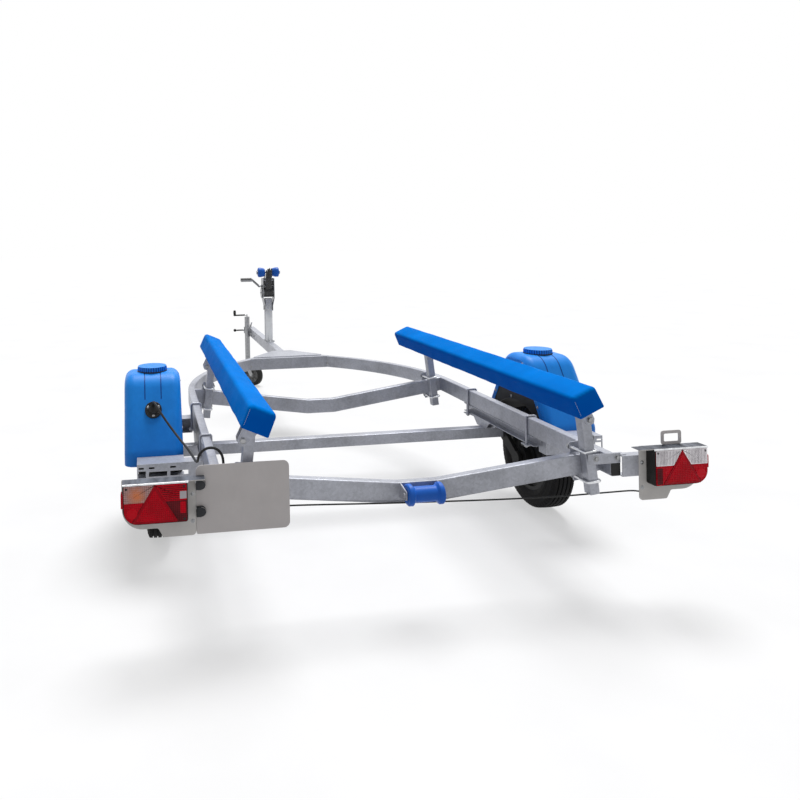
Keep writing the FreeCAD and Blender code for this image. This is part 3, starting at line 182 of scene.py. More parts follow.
def set_camera():
    place = Vector((-1.00869, -4.60106, 1.40536))
    yaw, pitch, roll = 0.131669, -0.0025357, -0.0207
    forward = Vector((sin(yaw) * cos(pitch), cos(yaw) * cos(pitch), sin(pitch)))
    level = Vector((cos(yaw), -sin(yaw), 0))
    above = level.cross(forward)
    right = level * cos(roll) + above * sin(roll)
    up = above * cos(roll) - level * sin(roll)
    data = bpy.data.cameras.new("camera")
    data.lens = 30.58
    data.sensor_width = 36
    data.shift_x, data.shift_y = 0.204, -0.198
    data.clip_end = 200
    camera = bpy.data.objects.new("camera", data)
    camera.matrix_world = Matrix((right, up, -forward)).transposed().to_4x4()
    camera.location = place
    scene.collection.objects.link(camera)
    scene.camera = camera
    scene.view_settings.view_transform = "Standard"


def set_light():
    """A white sky, dimmer as a light than to the camera, and a broad soft sun."""
    world = bpy.data.worlds.new("studio")
    world.use_nodes = True
    scene.world = world
    sky = Tree(world.node_tree)
    background = world.node_tree.nodes["Background"]
    sky_light = 0.34
    sky.feed(sky.spread(sky.seen(), 0, 1, sky_light, 1), background.inputs["Strength"])
    background.inputs["Color"].default_value = (1, 1, 1, 1)
    sun = bpy.data.lights.new("sky_light", "SUN")
    sun.energy = 2.8
    sun.angle = radians(30)
    lamp = bpy.data.objects.new("sky_light", sun)
    lamp.rotation_euler = (radians(-20), radians(12), 0)
    scene.collection.objects.link(lamp)


def set_floor():
    """A floor that sends little light up, and looks pale to the camera and in reflections."""
    mat = Finish("pale_floor", Roughness=0.9, Specular_IOR_Level=0)
    tone = mat.shade(mat.noise(2, 4), 0.3, 0.7, (0.42, 0.42, 0.425), (0.45, 0.45, 0.455))
    glow = mat.mix(mat.seen(), (0, 0, 0), (0.5, 0.5, 0.5))
    mat.coat(Base_Color=tone, Emission_Color=glow, Emission_Strength=1)
    mesh = bpy.data.meshes.new("floor")
    far = 60
    mesh.from_pydata([(-far, -far, 0), (far, -far, 0), (far, far, 0), (-far, far, 0)], [], [(0, 1, 2, 3)])
    floor = bpy.data.objects.new("floor", mesh)
    mesh.materials.append(mat.material)
    scene.collection.objects.link(floor)


# Finishes


def grey(level, tint=(1, 1, 1)):
    return tuple(level * share for share in tint)


def galvanised(name, light, pale=None):
    """Hot-dip zinc: spangle, cloudy tone, dull runs and white blooms. Its rear face may be pale low down: a
    painted reflection of the sky.
    """
    mat = Finish(name, Metallic=0.4, Specular_IOR_Level=0.6)
    cool = (0.95, 0.98, 1.09)
    spangle = mat.add("TexVoronoi", {"Vector": mat.place(), "Scale": 120}, "Color")
    grain = mat.add("SeparateColor", {0: spangle})
    cloud = mat.noise(5, 4, 0.55, bend=0.5)
    runs = mat.noise(22, 4, 0.6, stretch=(1, 1, 0.3))
    fine = mat.noise(240, 3, 0.6)
    worn, soft = mat.edges(0.0018)
    share = grain * 0.12 + cloud * 0.55 + runs * 0.22 + fine * 0.14
    colour = mat.shade(share, 0.32, 0.74, grey(0.31, cool), grey(light, cool))
    if pale:
        # Painted reflection of the sky: the rear face turns pale below the given heights.
        behind = mat.spread(mat.facing("Y"), -0.4, -0.9)
        sky_reflection = mat.spread(mat.axis("Z"), *pale, 1, 0) * behind
        colour = mat.mix(sky_reflection, colour, (0.96, 0.98, 1))
    bloom = mat.spread(mat.noise(9, 6, 0.7), 0.6, 0.74)
    colour = mat.mix(bloom * 0.28, colour, (0.8, 0.82, 0.86))
    stain = mat.spread(mat.noise(4, 5, 0.62, stretch=(1, 0.4, 1)), 0.56, 0.72)
    colour = mat.mix(stain * 0.28, colour, (0.3, 0.28, 0.27))
    colour = mat.mix(worn * 0.7, colour, (0.92, 0.94, 0.97))
    height = grain * 0.2 + cloud * 0.5 + fine * 0.4
    return mat.done(colour, (share, 0.2, 0.9, 0.52, 0.32), (height, 0.3, 0.0008, soft))


def bright_zinc(name, dark, light):
    """Smooth plated steel of bolts, levers and the winch."""
    mat = Finish(name, Metallic=0.95)
    cloud = mat.noise(60)
    worn, soft = mat.edges(0.0006)
    colour = mat.shade(cloud, 0.3, 0.7, dark, light)
    colour = mat.mix(worn * 0.5, colour, (0.85, 0.85, 0.84))
    return mat.done(colour, (cloud, 0.2, 0.8, 0.26, 0.42), (mat.noise(900, 2), 0.2, 0.0003, soft))


def coated_fabric():
    """Blue coated cloth of the bunks: fine woven grain, and darker where it faces away from the sky."""
    mat = Finish("blue_bunk_cover", Specular_IOR_Level=0.01)
    across = mat.axis("X", (0, -BUNK_TILT, 0))
    threads = (across * 4200).wave() * (mat.axis("Y") * 4200).wave()
    cloud = mat.noise(5, 4, 0.6)
    scuff = mat.noise(38, 5, 0.7, stretch=(1, 0.3, 1))
    colour = mat.shade(cloud, 0.3, 0.72, (0, 0.18, 0.68), (0, 0.24, 0.84))
    colour = mat.mix(mat.spread(scuff, 0.55, 0.85) * 0.22, colour, (0.001, 0.27, 0.9))
    shaded = mat.spread(mat.facing("Z"), 0, 0.55, 0.62, 0)
    colour = mat.mix(shaded, colour, (0, 0.07, 0.5))
    height = threads * 0.12 + mat.noise(16, 3, 0.5, stretch=(1, 0.35, 1)) * 0.9
    return mat.done(colour, (scuff, 0.3, 0.8, 0.5, 0.66), (height, 0.45, 0.0012))


def moulded(name, dark, light, rough, grain=900, depth=0.0004, coat=0, spec=0.25):
    """Moulded plastic or rubber: orange-peel grain, faint handling marks, paler edges."""
    mat = Finish(name, Specular_IOR_Level=spec, Coat_Weight=coat, Coat_Roughness=0.12)
    cloud, marks = mat.handled()
    worn, soft = mat.edges(0.0012)
    colour = mat.shade(cloud * 0.7 + marks * 0.3, 0.3, 0.7, dark, light)
    pale = tuple(min(1, c * 1.5 + 0.03) for c in light)
    colour = mat.mix(worn * 0.45, colour, pale)
    return mat.done(colour, (marks, 0.3, 0.8, rough - 0.05, rough + 0.1),
                    (mat.noise(grain, 2, 0.6), 0.4, depth, soft))


def tank_plastic():
    """Blue moulded plastic, with painted shade low down, in the band's two grooves and between the ribs of
    the cap.
    """
    mat = Finish("blue_tank_plastic", Specular_IOR_Level=0.25)
    cloud, marks = mat.handled()
    peel = mat.noise(420, 3, 0.6)
    worn, soft = mat.edges(0.0012)
    share = cloud * 0.6 + marks * 0.3 + peel * 0.1
    colour = mat.shade(share, 0.3, 0.7, (0.005, 0.235, 0.8), (0.014, 0.325, 1))
    colour = mat.mix(worn * 0.45, colour, (0.05, 0.46, 1))
    side = mat.axis("X").size() - GUARD_MIDDLE * MM
    ahead = mat.axis("Y") - (LAMP_FACE + WHEEL_AHEAD * MM)
    height = mat.axis("Z")
    from_band = side.size()
    # Painted shade: masks for the band's two grooves and for the gaps between the cap's ribs.
    groove = (from_band > 0.0342) * (from_band < 0.0398) * (height > 0.684) * (height < 0.786)
    away = (side * side + ahead * ahead) ** 0.5
    rib = (ahead.angle_from(side) * 36).cosine()
    gap = (rib < -0.05) * (away > 0.0668) * (height > 0.7862) * (height < 0.808)
    # Painted shade, darker towards the bottom of the tank.
    painted_low_shade = mat.spread(height + cloud * 0.06, 0.46, 0.68, 0.55, 0)
    colour = mat.mix(painted_low_shade, colour, (0.002, 0.11, 0.52))
    colour = mat.mix((groove * 0.8).larger(gap * 0.75), colour, (0.002, 0.05, 0.3))
    return mat.done(colour, (marks, 0.3, 0.8, 0.37, 0.52), (peel, 0.4, 0.0005, soft))


def tyre_rubber():
    mat = Finish("tyre_black_rubber", Specular_IOR_Level=0.14)
    dust = mat.noise(24, 5, 0.65)
    colour = mat.shade(dust, 0.42, 0.75, (0.01, 0.01, 0.011), (0.034, 0.032, 0.031))
    return mat.done(colour, (dust, 0.3, 0.7, 0.62, 0.82), (mat.noise(700, 2, 0.6), 0.5, 0.0005))


def lens(name, dark, light, rib, metal=0):
    """A lamp's plastic: moulded prisms under a glossy face."""
    mat = Finish(name, Metallic=metal, Specular_IOR_Level=0.05, Coat_Weight=0.04, Coat_Roughness=0.05)
    prisms = (mat.axis("X") * rib).wave() * 0.5 + (mat.axis("Z") * rib).wave() * 0.5
    cloud = mat.noise(18, 3, 0.5)
    colour = mat.shade(prisms * 0.28 + cloud, 0.15, 0.85, dark, light)
    return mat.done(colour, (cloud, 0.3, 0.7, 0.08, 0.2), (prisms, 0.5, 0.0012))


def amber_bulb_lens():
    """Clear ribbed lens with an amber bulb glowing through its middle."""
    mat = Finish("amber_bulb_lens", Specular_IOR_Level=0.12, Coat_Weight=0.1, Coat_Roughness=0.05)
    across, up = mat.axis("X"), mat.axis("Z")
    bulb = spot(-1062, 0, 536)
    away = ((across - bulb.x) ** 2 + (up - bulb.z) ** 2) ** 0.5
    prisms = (across * 900).wave() * 0.5 + (up * 900).wave() * 0.5
    cloud = mat.noise(60, 3, 0.5)
    near = mat.spread(away + cloud * 0.022 + prisms * 0.003, 0.016, 0.048, 1, 0)
    clear = mat.shade(prisms * 0.3 + cloud, 0.2, 0.8, (0.34, 0.17, 0.155), (0.72, 0.44, 0.42))
    colour = mat.mix(near, clear, (0.95, 0.31, 0.13))
    return mat.done(colour, (cloud, 0.3, 0.7, 0.08, 0.2), (prisms, 0.5, 0.0012))


def plate_steel():
    """The lamps' plates: dull beige-grey, and dark streaky steel where they are folded up as hoods."""
    mat = Finish("lamp_plate_steel", Specular_IOR_Level=0.2)
    folded = mat.spread(mat.facing("Z"), 0.45, 0.75)
    cloud = mat.noise(12, 4, 0.6)
    streak = mat.noise(34, 4, 0.6, stretch=(1, 0.15, 1))
    worn, soft = mat.edges(0.001)
    warm = (1, 0.97, 0.94)
    flat = mat.shade(cloud, 0.3, 0.7, grey(0.7, warm), grey(0.8, warm))
    dark = mat.shade(streak, 0.38, 0.62, grey(0.055, (0.9, 1, 1.25)), grey(0.17, (0.92, 1, 1.2)))
    colour = mat.mix(worn * 0.5, mat.mix(folded, flat, dark), (0.8, 0.8, 0.82))
    return mat.done(colour, (streak, 0.3, 0.7, 0.52, 0.4),
                    (mat.noise(500, 2, 0.5), 0.25, 0.0004, soft), Metallic=folded * 0.5)


def strap_webbing():
    mat = Finish("black_strap_webbing", Specular_IOR_Level=0.3, Sheen_Weight=0.2)
    ribs = (mat.axis("X") * 3100).wave() * (mat.axis("Z") * 1900).wave()
    fuzz = mat.noise(260)
    colour = mat.shade(ribs * 0.5 + fuzz, 0.2, 0.9, (0.02, 0.02, 0.021), (0.2, 0.2, 0.2))
    return mat.done(colour, (fuzz, 0.3, 0.7, 0.75, 0.9), (ribs, 0.6, 0.0006))


def make_finishes():
    beige = (1, 0.95, 0.94)
    return {
        "galvanised": galvanised("galvanised_steel", 0.58),
        # The winch post: galvanised, with a painted sky reflection low on its rear face.
        "pale_post": galvanised("pale_galvanised_steel", 0.56, (0.73, 0.87)),
        "zinc_plated": bright_zinc("bright_zinc_plating", (0.24, 0.245, 0.255), (0.38, 0.385, 0.395)),
        "bright_bolts": bright_zinc("new_zinc_plating", (0.55, 0.56, 0.58), (0.8, 0.81, 0.83)),
        "bunk_cover": coated_fabric(),
        "blue_plastic": tank_plastic(),
        "roller_plastic": moulded("blue_roller_plastic", (0.007, 0.108, 0.54), (0.015, 0.16, 0.7), 0.4),
        "tyre_rubber": tyre_rubber(),
        "wheel_paint": moulded("dark_wheel_paint", grey(0.014), grey(0.03), 0.4, 1400, 0.0002, 0.06, 0.12),
        "arm_paint": moulded("black_arm_paint", grey(0.008), grey(0.02), 0.46, 1100, 0.0003, spec=0.12),
        "grey_panel": moulded("beige_grey_panel", grey(0.66, beige), grey(0.73, beige), 0.5, 1500, 0.0002,
                              spec=0.2),
        "lamp_plate": plate_steel(),
        "black_plastic": moulded("black_plastic", grey(0.01), grey(0.022), 0.4),
        "black_rubber": moulded("black_rubber", grey(0.012), grey(0.028), 0.55, 700),
        "grip_rubber": moulded("grey_grip_rubber", grey(0.13), grey(0.21), 0.5),
        "castor_grey": moulded("grey_wheel_plastic", grey(0.2), grey(0.3), 0.45),
        "thread": moulded("pale_stitching", (0.42, 0.58, 0.85), (0.6, 0.72, 0.92), 0.6),
        "strap_web": strap_webbing(),
        "amber_lens": amber_bulb_lens(),
        "lamp_red": lens("red_lens", (0.46, 0.001, 0.01), (0.82, 0.003, 0.02), 900),
        "clear_lens": lens("clear_lens", (0.7, 0.67, 0.7), (1, 0.97, 0.99), 1100, 0.6),
        "triangle_lens": lens("triangle_reflector", (0.42, 0.001, 0.01), (0.58, 0.003, 0.018), 2400),
        "dark_lens": lens("dark_red_lens", (0.06, 0.006, 0.008), (0.22, 0.016, 0.024), 900),
        # Brighter red of the bull's-eye over the bulb: a painted reflection.
        "bright_red": lens("red_lens_painted_reflection", (0.74, 0.003, 0.012), (0.95, 0.008, 0.03), 1600),
        "smoked": lens("smoked_lens", (0.03, 0.032, 0.036), (0.1, 0.105, 0.115), 1500),
        "clear_rib": lens("clear_lens_rib", (0.36, 0.34, 0.36), (0.62, 0.58, 0.61), 1600, 0.2),
    }


# Shapes


def own_frame(axis):
    """Two directions square to an axis, and the axis."""
    axis = axis.normalized()
    helper = Z if abs(axis.z) < 0.9 else X
    first = helper.cross(axis).normalized()
    return first, axis.cross(first), axis


def circle(first, second, count):
    """Directions spaced evenly in the plane of two others."""
    return [first * cos(a) + second * sin(a) for a in (2 * pi * k / count for k in range(count))]


def mirrored(profile):
    return profile + [(-a, r) for a, r in reversed(profile)]


def box(left, low, right, high):
    return [(left, low), (right, low), (right, high), (left, high)]


def rounded(corners, radii, steps=3):
    """A closed outline of 2-D points with its corners rounded, all alike or each by its own radius."""
    radii = radii if isinstance(radii, list) else [radii] * len(corners)
    points = []
    for i, (corner, radius) in enumerate(zip(corners, radii)):
        corner = Vector(corner)
        if radius <= 0:
            points.append(corner)
            continue
        back = (Vector(corners[i - 1]) - corner).normalized()
        ahead = (Vector(corners[(i + 1) % len(corners)]) - corner).normalized()
        half = back.angle(ahead) / 2
        reach = radius / tan(half)
        middle = corner + (back + ahead).normalized() * (radius / sin(half))
        start, end = corner + back * reach - middle, corner + ahead * reach - middle
        for step in range(steps + 1):
            way = start.slerp(end, step / steps) if start.angle(end) > 1e-4 else start
            points.append(middle + way.normalized() * radius)
    return points


class Shape:
    """The points and faces of one piece. Sizes are in millimetres, points and vectors in metres."""

    def __init__(self):
        self.points = []
        self.faces = []
        self.finish_of = []

    def rings(self, rings, finish=0, closed=False):
        """Skin over rings that all have the same number of points, with an end face on each unless closed."""
        base, count = len(self.points), len(rings[0])
        faces = []
        for a in range(len(rings) if closed else len(rings) - 1):
            b = (a + 1) % len(rings)
            for i in range(count):
                j = (i + 1) % count
                faces.append((a * count + i, a * count + j, b * count + j, b * count + i))
        if not closed:
            last = (len(rings) - 1) * count
            faces.append(tuple(reversed(range(count))))
            faces.append(tuple(last + i for i in range(count)))
        self.points += [Vector(p) for ring in rings for p in ring]
        self.faces += [tuple(base + i for i in face) for face in faces]
        self.finish_of += [finish] * len(faces)

    def lathe(self, start, axis, profile, steps=32, finish=0, closed=False):
        """Turn (along, radius) pairs about an axis."""
        first, second, along = own_frame(axis)
        ways = circle(first, second, steps)
        rings = [[start + (along * reach + way * radius) * MM for way in ways] for reach, radius in profile]
        self.rings(rings, finish, closed)

    def prism(self, outline, push, finish=0):
        self.rings([list(outline), [p + push for p in outline]], finish)

    def slab(self, outline, ahead, deep, finish=0, side=1, middle=(0, 0)):
        """A plate across the trailer, from (across, up) pairs in millimetres. A side of -1 mirrors it."""
        flat = [spot(middle[0] + side * p[0], ahead, middle[1] + p[1]) for p in outline]
        self.prism(flat, Y * (deep * MM), finish)

    def tube(self, path, radius, sides=12):
        """A round bar along a path, with its frame carried from point to point."""
        rings = []
        side = None
        for i, point in enumerate(path):
            ahead = path[min(i + 1, len(path) - 1)] - path[max(i - 1, 0)]
            ahead.normalize()
            if side is None:
                side = own_frame(ahead)[0]
            side = (side - ahead * side.dot(ahead)).normalized()
            rings.append([point + way * (radius * MM) for way in circle(side, ahead.cross(side), sides)])
        self.rings(rings)

    def nut(self, centre, axis, across, high, washer=12):
        """A hexagon nut on a washer, with chamfered corners. The axis points out of the work."""
        axis = axis.normalized()
        if washer:
            self.lathe(centre, axis, [(0, washer * 0.5), (0, washer * 0.96), (0.4, washer), (1.2, washer),
                                      (1.6, washer * 0.96), (1.6, washer * 0.5)], 28)
        big = across / 2 / cos(pi / 6)
        self.lathe(centre + axis * (1.6 * MM), axis,
                   [(0, big * 0.3), (0, big * 0.93), (high * 0.1, big), (high * 0.88, big), (high, big * 0.9),
                    (high, big * 0.3)], 6)

    def thread(self, start, axis, length, radius=5.1):
        """A threaded end: rings cut close together, and a chamfered tip."""
        profile = [(0, radius)]
        pitch = radius * 0.3
        for turn in range(int(length / pitch)):
            profile += [((turn + 0.45) * pitch, radius * 0.88), ((turn + 0.95) * pitch, radius)]
        self.lathe(start, axis, profile + [(length, radius * 0.84), (length, 0.1)], 18)

    def head(self, centre, axis, across, high):
        """A bolt's hexagon head with a domed face, on a washer."""
        self.nut(centre, axis, across, high)
        dome = across * 0.42
        self.lathe(centre + axis.normalized() * ((1.6 + high) * MM), axis,
                   [(0, dome), (0.5, dome * 0.9), (0.7, dome * 0.3), (0.7, 0.1)], 20)

    def pan_head(self, centre, axis, radius):
        """A low round screw head with a hollow in its middle."""
        self.lathe(centre, axis,
                   [(0, radius * 1.5), (0.6, radius * 1.5), (0.8, radius), (1.8, radius * 0.96),
                    (2.7, radius * 0.72), (3, radius * 0.42), (1.8, radius * 0.3), (1.8, 0.1)], 24)


def make_piece(name, shape, finish, body="chassis", replaces=(), bevel=0, angle=35):
    """A piece of one finish or of several, one slot for each."""
    names = [finish] if isinstance(finish, str) else finish
    mesh = bpy.data.meshes.new(name)
    mesh.from_pydata(shape.points, [], shape.faces)
    for each in names:
        mesh.materials.append(finishes[each])
    mesh.polygons.foreach_set("material_index", shape.finish_of)
    work = bmesh.new()
    work.from_mesh(mesh)
    bmesh.ops.remove_doubles(work, verts=work.verts, dist=1e-6)
    bmesh.ops.recalc_face_normals(work, faces=work.faces)
    work.to_mesh(mesh)
    work.free()
    piece = bpy.data.objects.new(name, mesh)
    scene.collection.objects.link(piece)
    mesh.shade_smooth()
    mesh.set_sharp_from_angle(angle=radians(angle))
    if bevel:
        edge = piece.modifiers.new("rounded", "BEVEL")
        edge.width = bevel
        edge.segments = 2
        edge.limit_method = "ANGLE"
        edge.angle_limit = radians(angle)
        edge.harden_normals = False
        weighted = piece.modifiers.new("shading", "WEIGHTED_NORMAL")
        weighted.keep_sharp = False
    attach(piece, body)
    if replaces:
        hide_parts(*replaces)
    return piece


# The two cords


LAMP_CABLE = [(-905, 53, 418), (-905, 86, 418), (-881, 110, 423), (-836, 108, 429), (-775, 84, 434),
              (-700, 68, 437), (-620, 76, 434), (-550, 104, 425), (-491, 121, 419), (-79, 122, 397),
              (489, 122, 376), (800, 118, 380), (850, 110, 384), (876, 98, 387), (893, 78, 388),
              (893, 53, 388)]
TANK_HOSE = [(-995, 744, 672.4), (-995, 708, 694), (-985, 662, 690), (-962, 628, 655), (-925, 590, 607),
             (-890, 535, 570), (-862, 455, 553), (-846, 360, 549), (-838, 275, 552), (-834, 228, 568),
             (-832, 208, 600), (-805, 196, 628), (-768, 190, 628), (-744, 186, 602), (-741, 182, 562),
             (-741, 182, 524)]


def lay_cord(name, route, diameter, node):
    points = [spot(*p) for p in route]
    curve = bpy.data.curves.new(name, "CURVE")
    curve.dimensions = "3D"
    spline = curve.splines.new("NURBS")
    spline.points.add(len(points) - 1)
    for place, point in zip(spline.points, points):
        place.co = (*point, 1)
    spline.order_u = 3
    spline.use_endpoint_u = True
    spline.resolution_u = 12
    curve.bevel_depth = diameter / 2
    curve.bevel_resolution = 5
    curve.use_fill_caps = True
    curve.materials.append(finishes["black_rubber"])
    cord = bpy.data.objects.new(name, curve)
    scene.collection.objects.link(cord)
    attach(cord, "chassis")
    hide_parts(node)


# Bunks, in metres


BUNK_TILT = radians(24)
BUNK_WIDE, BUNK_THICK = 0.108, 0.09
BUNK_REAR, BUNK_FRONT = 0.02, 1.885
BUNK_MIDDLE, BUNK_HEIGHT = 0.628, 0.764
BUNK_ROWS = 130
SEAM_STITCHES = 15
STAPLES = 34


def leaning_axes(side, angle=BUNK_TILT):
    """Along and out of a bunk or a beam that rises outwards."""
    return Vector((side * cos(angle), 0, sin(angle))), Vector((-side * sin(angle), 0, cos(angle)))


def bunk_section():
    """Points round the pad: soft upper edges, and tight lower edges where the cover wraps the board."""
    half, deep = BUNK_WIDE / 2, BUNK_THICK / 2
    coarse = rounded(box(-half, -deep, half, deep), [0.005, 0.005, 0.017, 0.017], 7)
    points = []
    for i, start in enumerate(coarse):
        end = coarse[(i + 1) % len(coarse)]
        parts = max(1, round((end - start).length / 0.006))
        points += [start.lerp(end, k / parts) for k in range(parts)]
    return points


def bunk_places(length):
    """Distances along the pad, close together at its two ends."""
    near = [0, 0.0006, 0.0016, 0.003, 0.005, 0.0075, 0.0105, 0.014, 0.018, 0.024, 0.032, 0.042]
    middle = [0.055 + (length - 0.11) * k / BUNK_ROWS for k in range(BUNK_ROWS + 1)]
    return near + middle + [length - d for d in reversed(near)]


def bunk_pad(side, seed):
    """A board in foam under a stretched cover: a crowned top, soft upper ends and slight pulls."""
    along, out = leaning_axes(side)
    length = BUNK_FRONT - BUNK_REAR
    half, deep = BUNK_WIDE / 2, BUNK_THICK / 2
    section = bunk_section()
    rings = []
    for y in bunk_places(length):
        from_end = min(y, length - y)
        middle = Vector((0, LAMP_FACE + BUNK_REAR + y, 0))
        ring = []
        for a, b in section:
            rise = (b / deep + 1) / 2
            round_end = 0.003 + 0.013 * rise
            pull = max(0, 1 - from_end / round_end)
            inset = round_end * (1 - sqrt(1 - pull * pull)) * 0.9
            soft = min(1, from_end / 0.05)
            wave = noise.noise(Vector((a * 9 + seed, y * 11, b * 9))) * 0.0012
            crown = 0.0022 * (1 - (a / half) ** 2) * rise + 0.001 * (1 - (b / deep) ** 2)
            fold = 0.001 * sin(a * 330 + seed) * exp(-from_end / 0.012) * rise
            size = max(abs(a) / half, abs(b) / deep)
            shrink = 1 - inset / deep * size
            grown = 1 + ((crown + wave) * soft + fold) / deep * size
            ring.append(middle + along * (a * shrink * grown) + out * (b * shrink * grown))
        rings.append(ring)
    return rings


def bunk(side):
    along, out = leaning_axes(side)
    hand = HAND[side]
    middle = Vector((side * BUNK_MIDDLE, 0, BUNK_HEIGHT))
    pad = Shape()
    pad.rings([[p + middle for p in ring] for ring in bunk_pad(side, side * 3.7)])
    piece = make_piece("bunk_cushion_" + hand, pad, "bunk_cover", replaces=("bunk_" + hand,), angle=75)

    # The cover is sewn up one edge of each end, and its hem is stapled to the board underneath
    thread = Shape()
    half, deep = BUNK_WIDE / 2, BUNK_THICK / 2
    for end, way in ((BUNK_REAR, -1), (BUNK_FRONT, 1)):
        face = middle + Y * (LAMP_FACE + end + way * 0.0002)
        for step in range(SEAM_STITCHES):
            up = -deep + 0.012 + step * (2 * deep - 0.03) / SEAM_STITCHES
            start = face - along * side * (half - 0.0065 - 0.001 * (step % 2)) + out * up
            tip = start + out * 0.0032
            thread.tube([start - Y * (way * 0.0006), start, start.lerp(tip, 0.5) + Y * (way * 0.0005), tip,
                         tip - Y * (way * 0.0006)], 0.55, 6)
    make_piece("bunk_stitches_" + hand, thread, "thread")
    staples = Shape()
    under = middle - out * (deep + 0.0002)
    for row in (-1, 1):
        for step in range(STAPLES):
            y = BUNK_REAR + 0.03 + (BUNK_FRONT - BUNK_REAR - 0.06) * step / (STAPLES - 1)
            centre = under + along * (row * 0.022) + Y * (LAMP_FACE + y)
            a, b = centre - along * 0.005, centre + along * 0.005
            staples.tube([a + out * 0.002, a, b, b + out * 0.002], 0.6, 6)
    make_piece("bunk_staples_" + hand, staples, "zinc_plated")


# Wheels


PITCHES = 66
TREAD_HALF = 47
GROOVES = (-31, -10.5, 10.5, 31)
GROOVE_WIDE, GROOVE_DEEP = 3.2, 7
SIDEWALL = [(-47, 152.5), (-47.5, 160), (-50, 166), (-52, 168), (-58.5, 176), (-61.2, 186), (-61.8, 192.5),
            (-60.7, 194), (-61.8, 195.5), (-61.2, 203), (-59.8, 205.5), (-60.3, 207.5), (-59, 216),
            (-56, 227.5), (-56.5, 230), (-52.5, 240), (-50, 246)]


def tyre(side):
    """A bias-ply trailer tyre: four grooves round the tread, notched shoulders, ringed sidewalls."""
    centre = spot(side * TRACK_HALF, WHEEL_AHEAD, TYRE_RADIUS)
    top = []
    x = -TREAD_HALF
    for g in GROOVES:
        floor, half_floor = TYRE_RADIUS - GROOVE_DEEP, GROOVE_WIDE * 0.6
        top += [(x, TYRE_RADIUS), (g - GROOVE_WIDE, TYRE_RADIUS), (g - half_floor, floor),
                (g + half_floor, floor)]
        x = g + GROOVE_WIDE
    top += [(x, TYRE_RADIUS), (TREAD_HALF, TYRE_RADIUS)]
    crowned = [(a, r - 2.2 * (a / TREAD_HALF) ** 2) for a, r in top]
    line = SIDEWALL + crowned + [(-a, r) for a, r in reversed(SIDEWALL)]
    first = len(SIDEWALL)
    edge = {first - 2, first - 1, first, len(line) - first - 1, len(line) - first, len(line) - first + 1}
    rings = []
    for pitch in range(PITCHES):
        for share, cut in ((0, 0), (0.66, 0), (0.72, 1.8), (0.94, 1.8)):
            angle = 2 * pi * (pitch + share) / PITCHES
            ring = []
            for i, (a, r) in enumerate(line):
                turn = angle + 0.3 * copysign(1, a) * pi / PITCHES
                radius = r - (cut if i in edge else 0)
                ring.append(centre + Vector((a, sin(turn) * radius, cos(turn) * radius)) * MM)
            rings.append(ring)
    shape = Shape()
    shape.rings(rings, closed=True)
    hand = HAND[side]
    make_piece("tyre_tread_" + hand, shape, "tyre_rubber", "wheel_" + hand, replaces=("tyre_" + hand,),
               angle=28)


# Lamps


LENS_FINISHES = ["lamp_red", "amber_lens", "clear_lens", "triangle_lens", "dark_lens", "bright_red",
                 "clear_rib"]
RED, AMBER, CLEAR, TRIANGLE, DARK, PAINTED_REFLECTION, CLEAR_RIB = range(7)


def lamp_point(side, u, v, y):
    """A point on a lamp: from its outer edge, above its foot, ahead of its rear face."""
    return spot(side * (LAMP_OUTER - u), y, LAMP_LOW + v)


def lamp_slab(shape, side, outline, y0, y1, finish=0):
    shape.slab(outline, y0, y1 - y0, finish, -side, (side * LAMP_OUTER, LAMP_LOW))


def lamp_outline(inset, corner):
    """The lamp's outline, drawn in by a distance, with its low outer corner swept up."""
    corners = box(inset, inset, LAMP_WIDE - inset, LAMP_HIGH - inset)
    return rounded(corners, [52 - inset, corner, corner, corner], 8)


def lens_fields(side):
    """The lens's coloured fields round the triangle, each with its finish."""
    indicator, upper, lower = (AMBER, RED, DARK) if side < 0 else (CLEAR, CLEAR, RED)
    sweep = [(52 + 47.5 * cos(radians(a)), 52 + 47.5 * sin(radians(a))) for a in range(180, 244, 8)]
    return [
        (rounded([(4.5, 78), (73.2, 78), (108, 134), (108, 135.5), (4.5, 135.5)], 2.5), indicator),
        ([(4.5, 77)] + sweep + [(30.5, 10.5), (71.6, 77)], RED),
        (rounded([(112, 135.5), (112, 134), (146.8, 78), (219.5, 78), (219.5, 135.5)], 2.5), upper),
        (rounded([(148.4, 77), (188.5, 12), (188.5, 4.5), (219.5, 4.5), (219.5, 77)], 2.5), lower),
    ]


